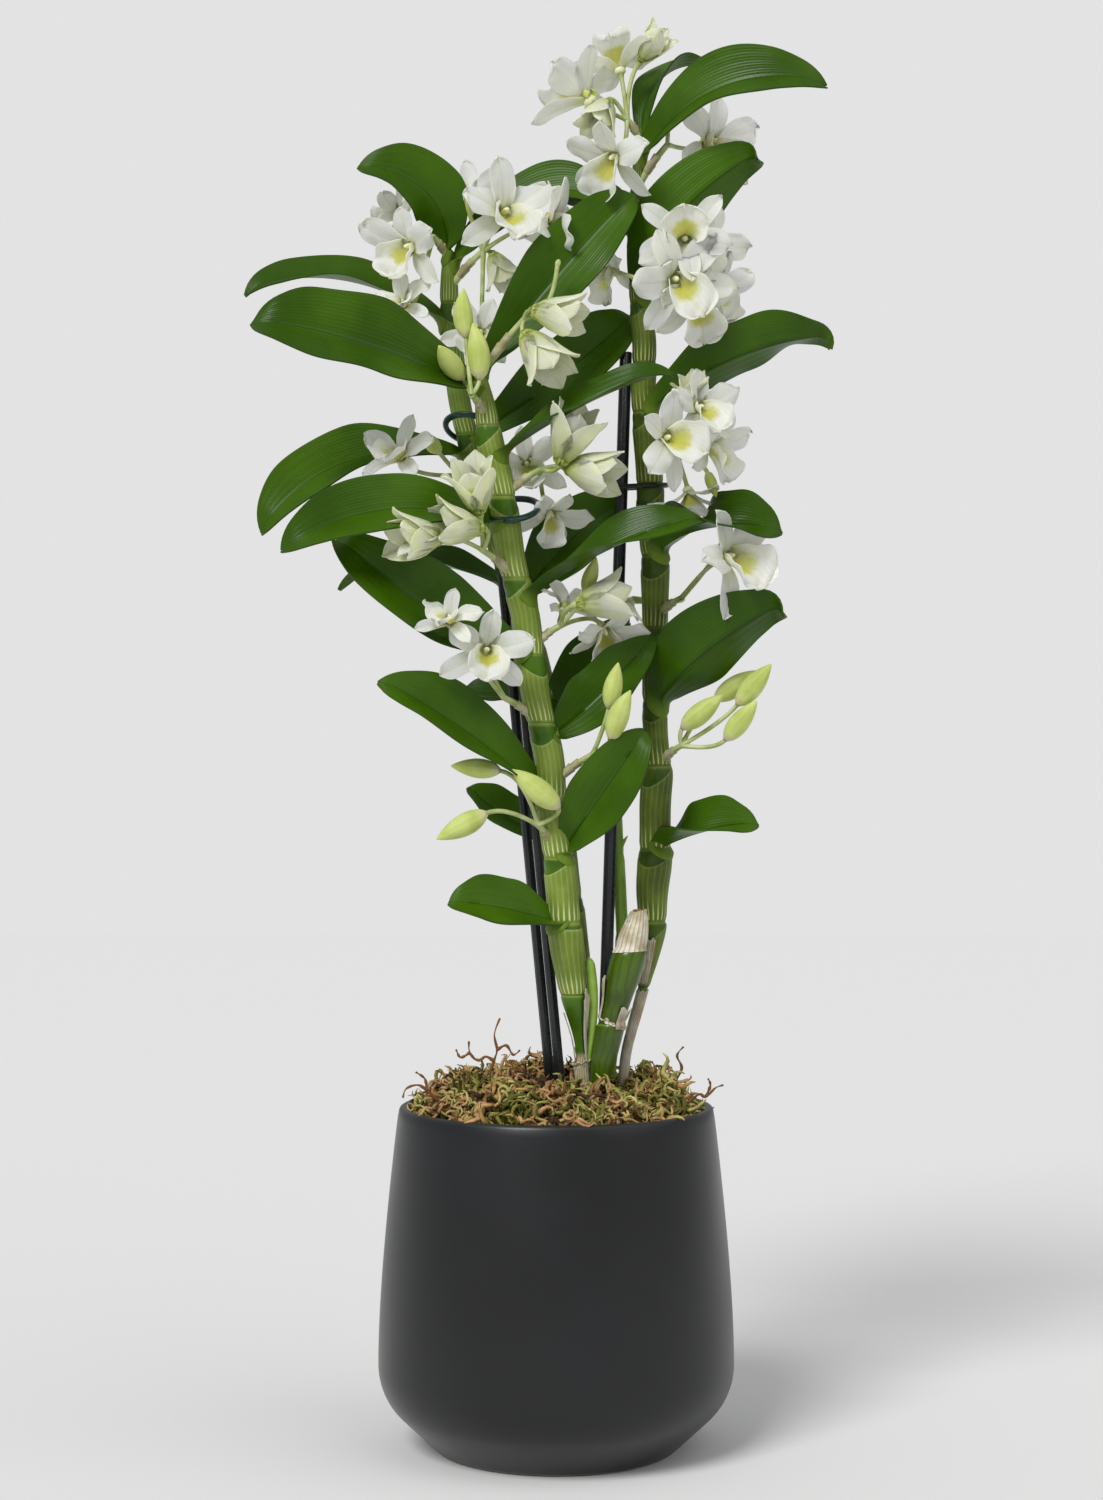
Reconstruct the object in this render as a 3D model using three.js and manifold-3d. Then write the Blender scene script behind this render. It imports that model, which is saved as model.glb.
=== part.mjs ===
// A dendrobium orchid in flower: three leafy canes, an old cane and a young shoot grow from a bark
// filled nursery pot, which stands in a ceramic cover pot under a dressing of moss.
// Millimetres, +Z up, the viewer's side is -Y. The origin is on the cover pot's axis, at its foot.
import * as THREE from "three";
import { mergeVertices } from "three/addons/utils/BufferGeometryUtils.js";
import Module from "manifold-3d";

const GAP = 0.35; // between pieces that touch

// Cover pot: a ceramic wall that leans in towards the rim and rounds off to a smaller foot
const POT_HEIGHT = 153.5;
const POT_RIM_RADIUS = 71;
const POT_BELLY_RADIUS = 80;
const POT_BELLY_HEIGHT = 38;
const POT_FOOT_ROUND = 31;
const POT_WALL = 5;
const POT_FLOOR = 6;

// Nursery pot: thin plastic with a rolled rim and drain holes
const NURSERY_HEIGHT = 128;
const NURSERY_TOP_RADIUS = 59;
const NURSERY_FOOT_RADIUS = 45;
const NURSERY_WALL = 1.4;
const NURSERY_RIM = { out: 3, depth: 4 };
const DRAIN_HOLE_RADIUS = 5;
const DRAIN_HOLES = 6;
const DRAIN_CIRCLE_RADIUS = 30;

// Bark and moss
const BARK_TOP = { edge: 128, middle: 140.6, slope: 6 };
const MOSS_BOTTOM = 141;
const MOSS_TOP = { edge: 151, shoulder: 160, middle: 166 };
const MOSS_LUMPS = { around: 5, height: 1.6 };

// Support sticks: foot and top of each stick's axis
const STAKES = {
  left_front: { foot: [14.6, -4, 30], top: [-23.5, -4, 432], radius: 2.15 },
  left_back: { foot: [10, -0.5, 30], top: [-31.5, 0, 468], radius: 2.15 },
  right: { foot: [17, 7, 30], top: [31.6, 7, 493], radius: 2.7 },
};

// Canes: points of the axis with the radius there, and the heights of the joints
const CANES = {
  front: {
    name: "cane_front_left",
    axis: [
      [12.5, -11, 155, 3.6], [11.7, -12, 164, 3.4], [10.7, -13.5, 184, 3.4], [9.2, -15.5, 193, 4.6],
      [7.7, -17, 203, 6.2], [5.2, -19, 220, 7.4], [3.9, -20, 233, 7.6], [1.7, -21, 260, 7],
      [-1.4, -21, 282, 6.8], [-2.8, -22, 309, 6.6], [-9, -22, 335, 6.5], [-13.2, -22, 371, 6.4],
      [-20, -22, 397, 6.6], [-24.9, -22, 433, 6], [-29.8, -22, 450, 6.2], [-31, -22, 464, 4.8],
      [-34.6, -22, 482, 2.4],
    ],
    joints: [155, 175, 205, 237, 266, 292, 325, 356, 389, 425, 457, 482],
  },
  back: {
    name: "cane_back_left",
    axis: [
      [17, 7, 155, 4], [14.5, 8, 172, 4], [9.5, 13, 217, 6.5], [2.7, 15, 267, 6.5],
      [-3.7, 16, 308, 6.2], [-5.5, 17, 340, 6], [-14.2, 18, 372, 6], [-26.9, 20, 409, 5.8],
      [-35.6, 20, 436, 5.8], [-41, 19, 458, 5.4], [-44.2, 18, 472, 5], [-48.8, 18, 513, 4.4],
      [-48.8, 18, 526, 4.2], [-48.8, 18, 543, 2.2],
    ],
    joints: [155, 187, 217, 247, 277, 307, 338, 368, 398, 428, 458, 488, 518, 543],
  },
  right: {
    name: "cane_right",
    axis: [
      [29.5, 6, 155, 3.2], [31.5, 5, 177, 3.1], [39.6, 5, 206, 3.2], [42.2, 5, 218, 4.4],
      [43.5, 5, 232, 6.3], [43.3, 5, 250, 7.4], [44.7, 5, 262, 7.6], [44.7, 5, 290, 7],
      [46, 5, 304, 6.8], [45, 5, 318, 5.5], [44.2, 5, 336, 5.5], [44.7, 5, 363, 5.9],
      [44.7, 5, 399, 6.4], [42.4, 5, 417, 6], [42.4, 5, 433, 6.3], [41.5, 5, 449, 6.2],
      [39.2, 5, 471, 5.5], [40, 5, 498, 5.6], [37.4, 5, 516, 4.6], [37, 5, 539, 4],
      [36.5, 5, 562, 3.4], [37.4, 5, 580, 2.5], [38.3, 5, 594, 1.8],
    ],
    joints: [155, 206, 236, 269, 306, 336, 369, 401, 433, 466, 488, 516, 543, 567, 594],
  },
  old: {
    name: "rhizome_and_old_cane",
    axis: [
      [18.5, -13, 152, 4.2], [19.4, -14, 166, 4.6], [21.8, -14, 180, 6], [24.4, -14, 191, 6.5],
      [27.3, -14, 202, 6.9], [30.2, -14, 213, 7.8], [32.6, -14, 224, 7.6], [34.8, -14, 233, 6.3],
      [37, -14, 241, 3.6],
    ],
    joints: [152, 192, 225, 241],
  },
  young: {
    name: "shoot_young",
    axis: [
      [24, 15, 155, 2.2], [25.4, 15, 172, 2.2], [29.1, 15, 199, 2.5], [30, 14, 233, 2.8],
      [27.7, 14, 263, 2.7], [27.2, 14, 277, 2.6], [26.3, 14, 309, 1.6],
    ],
    joints: [155, 193, 229, 265, 309],
  },
};
const CANE_SIDES = 8;
const JOINT_PINCH = 0.93; // a cane's width at a joint, as a share of its width between joints
const BUD_BESIDE_FRONT_CANE = { foot: [14.5, -16, 172], top: [15.8, -17, 221], radius: 2.4 };

// The creeping stem under the moss, which all canes stand on
const RHIZOME = { from: [10, -15, 147], over: [21, 0, 149], to: [36, 10, 147], radius: 5 };

// Leaves by cane, from the lowest up. Each leaves its cane at height z, passes through mid and ends
// at tip. Roll turns its upper side from straight up (0) to the viewer (90), at its base and its tip.
const LEAVES = {
  front: [
    { z: 236, mid: [-22, -38, 244], tip: [-47, -48, 248], width: 26, roll: [45, 55] },
    { z: 266, mid: [21, -34, 295], tip: [39, -38, 322], width: 27, roll: [75, 75] },
    { z: 291, mid: [-40, -45, 322], tip: [-76, -60, 344], width: 31, roll: [40, 50] },
    { z: 318, mid: [19, -16, 337], tip: [44, -12, 366], width: 25, roll: [75, 60] },
    { z: 355, mid: [-55, -42, 375], tip: [-96, -48, 407], width: 34, roll: [60, 60] },
    { z: 379, mid: [24, -38, 402], tip: [66, -38, 416], width: 25, roll: [10, 45] },
    { z: 413, mid: [-72, -52, 417], tip: [-119, -66, 399], width: 29, roll: [55, 65] },
    { z: 442, mid: [13, -38, 465], tip: [52, -36, 480], width: 22, roll: [25, 30] },
    { z: 472, mid: [-84, -50, 489], tip: [-132, -60, 498], width: 38, roll: [60, 65] },
    { z: 480, mid: [2, -16, 530], tip: [35, -14, 561], width: 29, roll: [75, 75] },
  ],
  back: [
    { z: 270, mid: [-23, 22, 283], tip: [-40, 20, 297], width: 20, roll: [45, 45] },
    { z: 326, mid: [14, 10, 350], tip: [32, -2, 371], width: 24, roll: [75, 60] },
    { z: 336, mid: [-29, 22, 337], tip: [-48, 26, 338], width: 20, roll: [25, 25] },
    { z: 385, mid: [-60, 26, 399], tip: [-102, 28, 389], width: 22, roll: [25, 25] },
    { z: 381, mid: [7, 14, 409], tip: [30, 16, 426], width: 30, roll: [75, 75] },
    { z: 447, mid: [-94, 0, 443], tip: [-133, -14, 410], width: 30, roll: [40, 50] },
    { z: 454, mid: [7, 12, 487], tip: [35, 14, 512], width: 29, roll: [75, 75] },
    { z: 507, mid: [-97, 22, 529], tip: [-142, 10, 522], width: 25, roll: [25, 35] },
    { z: 533, mid: [-10, 8, 563], tip: [26, 0, 561], width: 27, roll: [50, 50] },
    { z: 538, mid: [-59, 8, 566], tip: [-90, 0, 577], width: 30, roll: [70, 60] },
  ],
  right: [
    { z: 268, mid: [65, -16, 277], tip: [88, -26, 274], width: 24, roll: [-35, 60] },
    { z: 332, mid: [67, -20, 357], tip: [98, -26, 380], width: 32, roll: [-70, -40] },
    { z: 401, mid: [67, -22, 410], tip: [98, -30, 407], width: 25, roll: [-40, 60] },
    { z: 466, mid: [81, -16, 488], tip: [122, -16, 499], width: 27, roll: [-60, -15] },
    { z: 516, mid: [53, -9, 550], tip: [90, -8, 581], width: 33, roll: [-75, -60] },
    { z: 543, mid: [20, 14, 560], tip: [3, 14, 564], width: 22, roll: [50, 50] },
    { z: 579, mid: [74, -14, 610], tip: [121, -20, 609], width: 30, roll: [25, 58] },
    { z: 590, mid: [48, 16, 620], tip: [72, 22, 627], width: 18, roll: [5, 5] },
  ],
};
const LEAF_THICKNESS = 1.4;
const LEAF_CHANNEL = 0.16; // how far the edges stand above the midrib, as a share of the width
const LEAF_STEPS = 9;

// Flower sprays by cane, from the lowest up. The stalk leaves the cane at height z and divides at
// fork. A flower or bud is at, faces look and is span across; a bud's span is its length. Its own
// stalk bends in behind it, or towards via where it has to get past its cane.
const SPRAYS = {
  front: [
    { z: 268, fork: [-8, -30, 280], buds: [
      { at: [-35, -40, 305], look: [-1, 0, 0.1], span: 22 },
      { at: [-9, -40, 296], look: [-0.75, -0.15, 0.62], span: 27 },
      { at: [-41, -42, 280], look: [-0.87, -0.1, -0.45], span: 25 },
    ] },
    { z: 297, fork: [16, -28, 311], buds: [
      { at: [25, -34, 341], look: [0.2, -0.1, 0.97], span: 21 },
      { at: [28, -40, 328], look: [0.35, -0.2, 0.9], span: 24 },
    ] },
    { z: 324, fork: [-23, -28, 336], flowers: [
      { at: [-45, -54, 368], look: [-0.25, -0.75, 0.6], span: 26 },
      { at: [-30, -46, 355], look: [-0.1, -0.95, 0.1], span: 36 },
    ] },
    { z: 357, fork: [2, -22, 368], flowers: [
      { at: [19, -30, 379], look: [0.9, 0.3, 0.2], span: 26 },
      { at: [3, -4, 375], look: [0.2, 0.2, 0.4], span: 30 },
      { at: [20, -6, 369], look: [0.3, -0.5, -0.7], span: 32 },
    ], buds: [
      { at: [15, -24, 390], look: [0.3, -0.2, 0.9], span: 17 },
    ] },
    { z: 388, fork: [-32, -38, 400], flowers: [
      { at: [-40, -48, 429], look: [-0.35, -0.6, 0.7], span: 30 },
      { at: [-44, -50, 411], look: [-0.75, -0.3, 0.1], span: 26 },
      { at: [-64, -60, 406], look: [-0.7, -0.6, 0], span: 34 },
    ] },
    { z: 424, fork: [-7, -24, 437], flowers: [
      { at: [10, -36, 451], look: [0.35, -0.2, 0.9], span: 30 },
      { at: [15, -32, 435], look: [0.85, -0.3, -0.2], span: 28 },
      { at: [-13, -8, 440], look: [0, -0.95, 0], span: 30 },
      { at: [-4, -4, 421], look: [0.3, -0.6, -0.6], span: 30 },
    ] },
    { z: 459, fork: [-37, -38, 468], buds: [
      { at: [-40, -34, 504], look: [-0.05, 0, 1], span: 22 },
      { at: [-35, -36, 487], look: [-0.12, -0.1, 1], span: 25 },
      { at: [-46, -38, 482], look: [-0.1, -0.5, 0.85], span: 16 },
    ] },
    { z: 478, fork: [-14, -32, 502], flowers: [
      { at: [4, -40, 503], look: [0.95, -0.25, -0.15], span: 26 },
      { at: [-3, -38, 487], look: [0.55, -0.35, -0.75], span: 30 },
    ] },
  ],
  back: [
    { z: 430, fork: [-44, 4, 437], flowers: [
      { at: [-68, -20, 441], look: [-0.3, -0.7, 0.5], span: 32 },
    ], buds: [
      { at: [-55, -18, 448], look: [-0.1, -0.3, 0.95], span: 12 },
    ] },
    { z: 536, fork: [-56, 10, 546], flowers: [
      { at: [-66, -4, 516], look: [-0.2, -0.8, 0.5], span: 20 },
      { at: [-64, 2, 539], look: [-0.55, -0.7, -0.3], span: 32 },
      { at: [-75, 24, 559], look: [-0.5, 0.2, 0.3], span: 24, via: [-68, 24, 538] },
    ] },
    { z: 523, fork: [-33, 8, 539], flowers: [
      { at: [-42, 3, 572], look: [-0.1, -0.2, 0.95], span: 26 },
      { at: [-23, -8, 550], look: [0.05, -0.97, 0.1], span: 40 },
      { at: [-5, -9, 549], look: [0.7, -0.3, 0], span: 34 },
      { at: [-25, 6, 530], look: [0.4, -0.3, -0.8], span: 22 },
      { at: [-34, -3, 499], look: [0, -0.9, 0.1], span: 30 },
    ] },
  ],
  right: [
    { z: 305, fork: [56, -8, 315], buds: [
      { at: [65, -12, 330], look: [0.77, -0.1, 0.64], span: 20 },
      { at: [81, -4, 341], look: [0.83, 0, 0.55], span: 21 },
      { at: [88, -14, 342], look: [0.72, -0.1, 0.7], span: 20 },
      { at: [82, -16, 327], look: [0.72, -0.2, 0.7], span: 20 },
    ] },
    { z: 372, fork: [56, -8, 381], flowers: [
      { at: [75, -20, 397], look: [0.85, -0.45, 0.2], span: 42 },
      { at: [35, 22, 382], look: [-0.5, 0.2, -0.6], span: 28, via: [62, 24, 380] },
    ], buds: [
      { at: [77, -4, 420], look: [0.1, 0, 1], span: 12 },
    ] },
    { z: 435, fork: [54, -12, 444], flowers: [
      { at: [65, -26, 476], look: [0.2, -0.4, 0.9], span: 24 },
      { at: [72, -22, 466], look: [0.15, -0.95, 0.2], span: 34 },
      { at: [59, -36, 448], look: [0.1, -1, 0], span: 40 },
      { at: [79, -18, 448], look: [0.7, -0.4, -0.3], span: 30 },
      { at: [61, -8, 429], look: [0.2, -0.5, -0.8], span: 30 },
    ], buds: [
      { at: [69, -16, 431], look: [0.3, -0.3, -0.9], span: 12 },
    ] },
    { z: 516, fork: [46, -15, 520], flowers: [
      { at: [57, -34, 541], look: [0, -1, -0.05], span: 38 },
      { at: [74, -18, 540], look: [0.6, -0.6, -0.2], span: 34 },
      { at: [55, -30, 515], look: [-0.2, -0.95, -0.2], span: 38 },
      { at: [69, -16, 528], look: [0.3, -0.9, 0], span: 32 },
      { at: [69, -24, 511], look: [0.5, -0.75, -0.4], span: 38 },
      { at: [27, 12, 532], look: [-0.6, -0.5, -0.5], span: 30, via: [22, -16, 526] },
    ] },
    { z: 567, fork: [50, -2, 585], flowers: [
      { at: [66, -10, 592], look: [0.6, -0.3, -0.7], span: 40 },
      { at: [51, 12, 608], look: [0, 0.2, 0.97], span: 22 },
    ] },
    { z: 588, fork: [32, 2, 597], flowers: [
      { at: [16, -4, 608], look: [-0.85, -0.35, 0.35], span: 34 },
      { at: [24, 5, 623], look: [-0.1, 0.2, 0.95], span: 34 },
      { at: [44, 0, 629], look: [0.55, -0.2, 0.8], span: 22 },
      { at: [21, -8, 596], look: [-0.4, -0.5, -0.75], span: 24 },
      { at: [28, -8, 577], look: [-0.6, -0.5, -0.6], span: 32 },
    ] },
  ],
};
const STALK_RADIUS = 1.6;
const PEDICEL_RADIUS = 1.1;
const PETAL_COUNT = 5;
const FLOWER_BEHIND = 0.06; // how far behind its place the stalk ends, as a share of the span
const BUD_BEHIND = 0.35;

// Clips and tie: the loop that holds a cane to its stick, at height z
const TIES = {
  clip_front: { cane: "front", stake: "left_front", z: 424, colour: 0x0e3329 },
  clip_back: { cane: "back", stake: "left_back", z: 457, colour: 0x0e3329 },
  tie_right: { cane: "right", stake: "right", z: 432, colour: 0x101112 },
};
const TIE_THICKNESS = 1.6;
const TIE_HEIGHT = 2.4;

const COLOURS = {
  pot: 0x2d2e30, nursery: 0x1c1c1c, bark: 0x5a3a24, moss: 0x77703a, stake: 0x121418,
  cane: 0x7c9a3a, shoot: 0x8fb04c, leaf: 0x2c5a17, spray: 0xeef0d8,
};

const wasm = await Module();
wasm.setup();
const UP = new THREE.Vector3(0, 0, 1);

function vector([x, y, z]) {
  return new THREE.Vector3(x, y, z);
}

// A closed geometry as a solid; triangles that a pole has squeezed to a line are left out
function solidOf(geometry) {
  const bare = geometry.clone();
  bare.deleteAttribute("normal");
  bare.deleteAttribute("uv");
  const merged = mergeVertices(bare, 1e-4);
  const index = merged.index.array;
  const triVerts = [];
  for (let i = 0; i < index.length; i += 3) {
    const [a, b, c] = index.slice(i, i + 3);
    if (a !== b && b !== c && c !== a) triVerts.push(a, b, c);
  }
  return new wasm.Manifold(new wasm.Mesh({
    numProp: 3,
    vertProperties: new Float32Array(merged.attributes.position.array),
    triVerts: new Uint32Array(triVerts),
  }));
}

function geometryOf(solid) {
  const mesh = solid.getMesh();
  const geometry = new THREE.BufferGeometry();
  geometry.setAttribute("position", new THREE.BufferAttribute(new Float32Array(mesh.vertProperties), 3));
  geometry.setIndex(new THREE.BufferAttribute(new Uint32Array(mesh.triVerts), 1));
  geometry.computeVertexNormals();
  return geometry;
}

// A geometry whose every vertex is moved by a rule
function moulded(geometry, rule) {
  const shaped = geometry.clone();
  const place = shaped.attributes.position;
  const point = new THREE.Vector3();
  for (let i = 0; i < place.count; i++) {
    const moved = rule(point.fromBufferAttribute(place, i));
    place.setXYZ(i, moved.x, moved.y, moved.z);
  }
  return solidOf(shaped);
}

// The room that a piece's neighbours keep clear of: the piece with its skin moved outwards
function roomFor(solid) {
  const grown = geometryOf(solid);
  const place = grown.attributes.position;
  const normal = grown.attributes.normal;
  for (let i = 0; i < place.count; i++) {
    place.setXYZ(
      i,
      place.getX(i) + normal.getX(i) * GAP,
      place.getY(i) + normal.getY(i) * GAP,
      place.getZ(i) + normal.getZ(i) * GAP,
    );
  }
  return solidOf(grown).add(solid);
}

function boxesMeet(one, other) {
  const a = one.boundingBox();
  const b = other.boundingBox();
  return [0, 1, 2].every((k) => a.min[k] < b.max[k] && b.min[k] < a.max[k]);
}

// What is left of a solid once its neighbours have their room: its largest body
function clearOf(solid, rooms) {
  const near = rooms.filter((room) => boxesMeet(solid, room));
  const rest = near.reduce((left, room) => left.subtract(room), solid);
  return rest.decompose().reduce((most, body) => (body.volume() > most.volume() ? body : most));
}

const orchid = new THREE.Group();
const rooms = []; // of the pieces added so far

function add(name, solid, colour, roughness = 0.5) {
  const seated = clearOf(solid, rooms);
  const material = new THREE.MeshStandardMaterial({ color: colour, roughness, metalness: 0 });
  const mesh = new THREE.Mesh(geometryOf(seated), material);
  mesh.name = name;
  orchid.add(mesh);
  rooms.push(roomFor(seated));
}

// Turned about Z from points of radius and height, which start and end on the axis
function turned(profile, sides) {
  const points = profile.map(([r, z]) => new THREE.Vector2(r, z));
  return solidOf(new THREE.LatheGeometry(points, sides).rotateX(Math.PI / 2));
}

// A round bar from one point to another
function bar(from, to, radius, sides) {
  const along = to.clone().sub(from);
  const geometry = new THREE.CylinderGeometry(radius, radius, along.length(), sides);
  const own = new THREE.Vector3(0, 1, 0);
  geometry.applyQuaternion(new THREE.Quaternion().setFromUnitVectors(own, along.normalize()));
  geometry.translate(...from.clone().add(to).multiplyScalar(0.5).toArray());
  return solidOf(geometry);
}

// A round stalk along a curve
function stalk(curve, radius, steps, sides) {
  const section = new THREE.Shape();
  section.absarc(0, 0, radius, 0, 2 * Math.PI);
  return solidOf(new THREE.ExtrudeGeometry(section, { extrudePath: curve, steps, curveSegments: sides / 2 }));
}

// --- Cover pot and nursery pot ---

// Points along the pot's outer wall from the foot to the rim, or along its inner wall
function potWall(inset) {
  const shoulder = POT_FOOT_ROUND - inset;
  const centre = [POT_BELLY_RADIUS - POT_FOOT_ROUND, POT_BELLY_HEIGHT];
  const foot = [];
  for (const degrees of [-45, -30, -15]) {
    const turn = THREE.MathUtils.degToRad(degrees);
    foot.push([centre[0] + shoulder * Math.cos(turn), centre[1] + shoulder * Math.sin(turn)]);
  }
  const start = inset ? POT_FLOOR : 0;
  foot.unshift([foot[0][0] - (foot[0][1] - start), start]);
  const side = new THREE.QuadraticBezierCurve(
    new THREE.Vector2(POT_BELLY_RADIUS - inset, POT_BELLY_HEIGHT),
    new THREE.Vector2(POT_BELLY_RADIUS - inset, POT_BELLY_HEIGHT * 2),
    new THREE.Vector2(POT_RIM_RADIUS - inset, POT_HEIGHT - POT_WALL / 2),
  );
  return [...foot, ...side.getPoints(3).map((p) => [p.x, p.y])];
}

const rimTop = [POT_RIM_RADIUS - POT_WALL / 2, POT_HEIGHT];
add("cover_pot", turned([[0, 0], ...potWall(0), rimTop, ...potWall(POT_WALL).reverse(), [0, POT_FLOOR]], 32),
  COLOURS.pot, 0.45);

const nurseryFoot = POT_FLOOR + GAP;
const nurseryTop = nurseryFoot + NURSERY_HEIGHT;
const nurseryRimRadius = NURSERY_TOP_RADIUS + NURSERY_RIM.out;
const nurseryShell = turned([
  [0, nurseryFoot],
  [NURSERY_FOOT_RADIUS, nurseryFoot],
  [NURSERY_TOP_RADIUS, nurseryTop - NURSERY_RIM.depth],
  [nurseryRimRadius, nurseryTop - NURSERY_RIM.depth],
  [nurseryRimRadius, nurseryTop],
  [NURSERY_TOP_RADIUS - NURSERY_WALL, nurseryTop],
  [NURSERY_FOOT_RADIUS - NURSERY_WALL, nurseryFoot + NURSERY_WALL],
  [0, nurseryFoot + NURSERY_WALL],
], 24);
let nurseryPot = nurseryShell;
for (let hole = 0; hole < DRAIN_HOLES; hole++) {
  const turn = (2 * Math.PI * hole) / DRAIN_HOLES;
  const x = DRAIN_CIRCLE_RADIUS * Math.cos(turn);
  const y = DRAIN_CIRCLE_RADIUS * Math.sin(turn);
  const below = new THREE.Vector3(x, y, nurseryFoot - 1);
  const above = new THREE.Vector3(x, y, nurseryFoot + NURSERY_WALL + 1);
  nurseryPot = nurseryPot.subtract(bar(below, above, DRAIN_HOLE_RADIUS, 8));
}
add("nursery_pot", nurseryPot, COLOURS.nursery);

// --- Sticks ---

for (const [name, { foot, top, radius }] of Object.entries(STAKES)) {
  add(`stake_${name}`, bar(vector(foot), vector(top), radius, 8), COLOURS.stake, 0.3);
}

// --- Canes ---

// The centre and radius of a cane at a height
function caneAt({ axis }, z) {
  const upper = Math.max(1, axis.findIndex((point) => point[2] >= z));
  const [low, high] = [axis[upper - 1], axis[upper]];
  const share = (z - low[2]) / (high[2] - low[2]);
  const [x, y, height, radius] = low.map((value, k) => THREE.MathUtils.lerp(value, high[k], share));
  return { centre: new THREE.Vector3(x, y, height), radius };
}

// A cane has a ring at each joint, pinched in, and one half way to the next
function cane(spec) {
  const rings = spec.joints.flatMap((z, k) => {
    const next = spec.joints[k + 1];
    return next ? [[z, JOINT_PINCH], [(z + next) / 2, 1]] : [[z, JOINT_PINCH]];
  });
  const steps = rings.length - 1;
  const upright = new THREE.CylinderGeometry(1, 1, 1, CANE_SIDES, steps).rotateX(Math.PI / 2);
  return moulded(upright, (point) => {
    const [z, width] = rings[Math.round((point.z + 0.5) * steps)];
    const { centre, radius } = caneAt(spec, z);
    return new THREE.Vector3(point.x * radius * width, point.y * radius * width, 0).add(centre);
  });
}

const rhizomeEnds = [RHIZOME.from, RHIZOME.over, RHIZOME.to];
const rhizomeCurve = new THREE.CatmullRomCurve3(rhizomeEnds.map(vector));
const rhizome = stalk(rhizomeCurve, RHIZOME.radius, 4, 8);
add(CANES.old.name, cane(CANES.old).add(rhizome), COLOURS.cane);

const { foot: budFoot, top: budTop, radius: budRadius } = BUD_BESIDE_FRONT_CANE;
const sideBud = bar(vector(budFoot), vector(budTop), budRadius, 6);
add(CANES.front.name, cane(CANES.front).add(sideBud), COLOURS.cane);
add(CANES.back.name, cane(CANES.back), COLOURS.cane);
add(CANES.right.name, cane(CANES.right), COLOURS.cane);
add(CANES.young.name, cane(CANES.young), COLOURS.shoot);

// --- Bark and moss, which leave room for all that stands in them ---

const barkFoot = nurseryFoot + NURSERY_WALL + GAP;
const barkFootRadius = NURSERY_FOOT_RADIUS - NURSERY_WALL - GAP;
const barkTopRadius = NURSERY_TOP_RADIUS - NURSERY_WALL - 2 * GAP;
add("bark_medium", turned([
  [0, barkFoot], [barkFootRadius, barkFoot], [barkTopRadius, BARK_TOP.edge - BARK_TOP.slope],
  [barkTopRadius - BARK_TOP.slope, BARK_TOP.edge], [0, BARK_TOP.middle],
], 16), COLOURS.bark, 0.9);

const mossRadius = POT_RIM_RADIUS - POT_WALL - 2 * GAP;
const mossProfile = [
  [0, MOSS_BOTTOM], [mossRadius, MOSS_BOTTOM], [mossRadius, MOSS_TOP.edge],
  [0.8 * mossRadius, MOSS_TOP.shoulder], [0.5 * mossRadius, MOSS_TOP.middle], [0, MOSS_TOP.middle + 1],
];
const mossDome = new THREE.LatheGeometry(mossProfile.map(([r, z]) => new THREE.Vector2(r, z)), 18);
const moss = moulded(mossDome.rotateX(Math.PI / 2), (point) => {
  const turn = Math.atan2(point.y, point.x);
  const lump = MOSS_LUMPS.height * Math.sin(MOSS_LUMPS.around * turn + point.z);
  return point.z > MOSS_TOP.edge ? point.setZ(point.z + lump) : point;
});
add("moss_dressing", moss, COLOURS.moss, 0.95);

// --- Clips and tie ---

// A band round a cane and its stick: the outline of both circles, with the same outline inside
function band({ cane: caneName, stake, z }) {
  const { centre, radius } = caneAt(CANES[caneName], z);
  const { foot, top, radius: stickRadius } = STAKES[stake];
  const share = (z - foot[2]) / (top[2] - foot[2]);
  const stick = vector(foot).lerp(vector(top), share);
  const apart = stick.clone().sub(centre).setZ(0);
  const heading = Math.atan2(apart.y, apart.x);
  const lean = Math.acos((radius - stickRadius) / apart.length());
  const outline = (shape, room) => {
    shape.absarc(0, 0, radius + room, lean, 2 * Math.PI - lean);
    shape.absarc(apart.length(), 0, stickRadius + room, -lean, lean);
    shape.closePath();
    return shape;
  };
  const shape = outline(new THREE.Shape(), GAP * 2 + TIE_THICKNESS);
  shape.holes.push(outline(new THREE.Path(), GAP * 2));
  const settings = { depth: TIE_HEIGHT, bevelEnabled: false, curveSegments: 4 };
  const geometry = new THREE.ExtrudeGeometry(shape, settings);
  geometry.rotateZ(heading).translate(centre.x, centre.y, z - TIE_HEIGHT / 2);
  return solidOf(geometry);
}

for (const [name, tie] of Object.entries(TIES)) add(name, band(tie), tie.colour, 0.35);

// --- Leaves ---

// The share of its full width that a leaf has at a share of its length: a short narrow base, a
// long even blade and a blunt tip
function leafWidth(t) {
  return Math.pow(Math.sin(Math.PI * Math.pow(t, 1.15)), 0.55);
}

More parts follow.
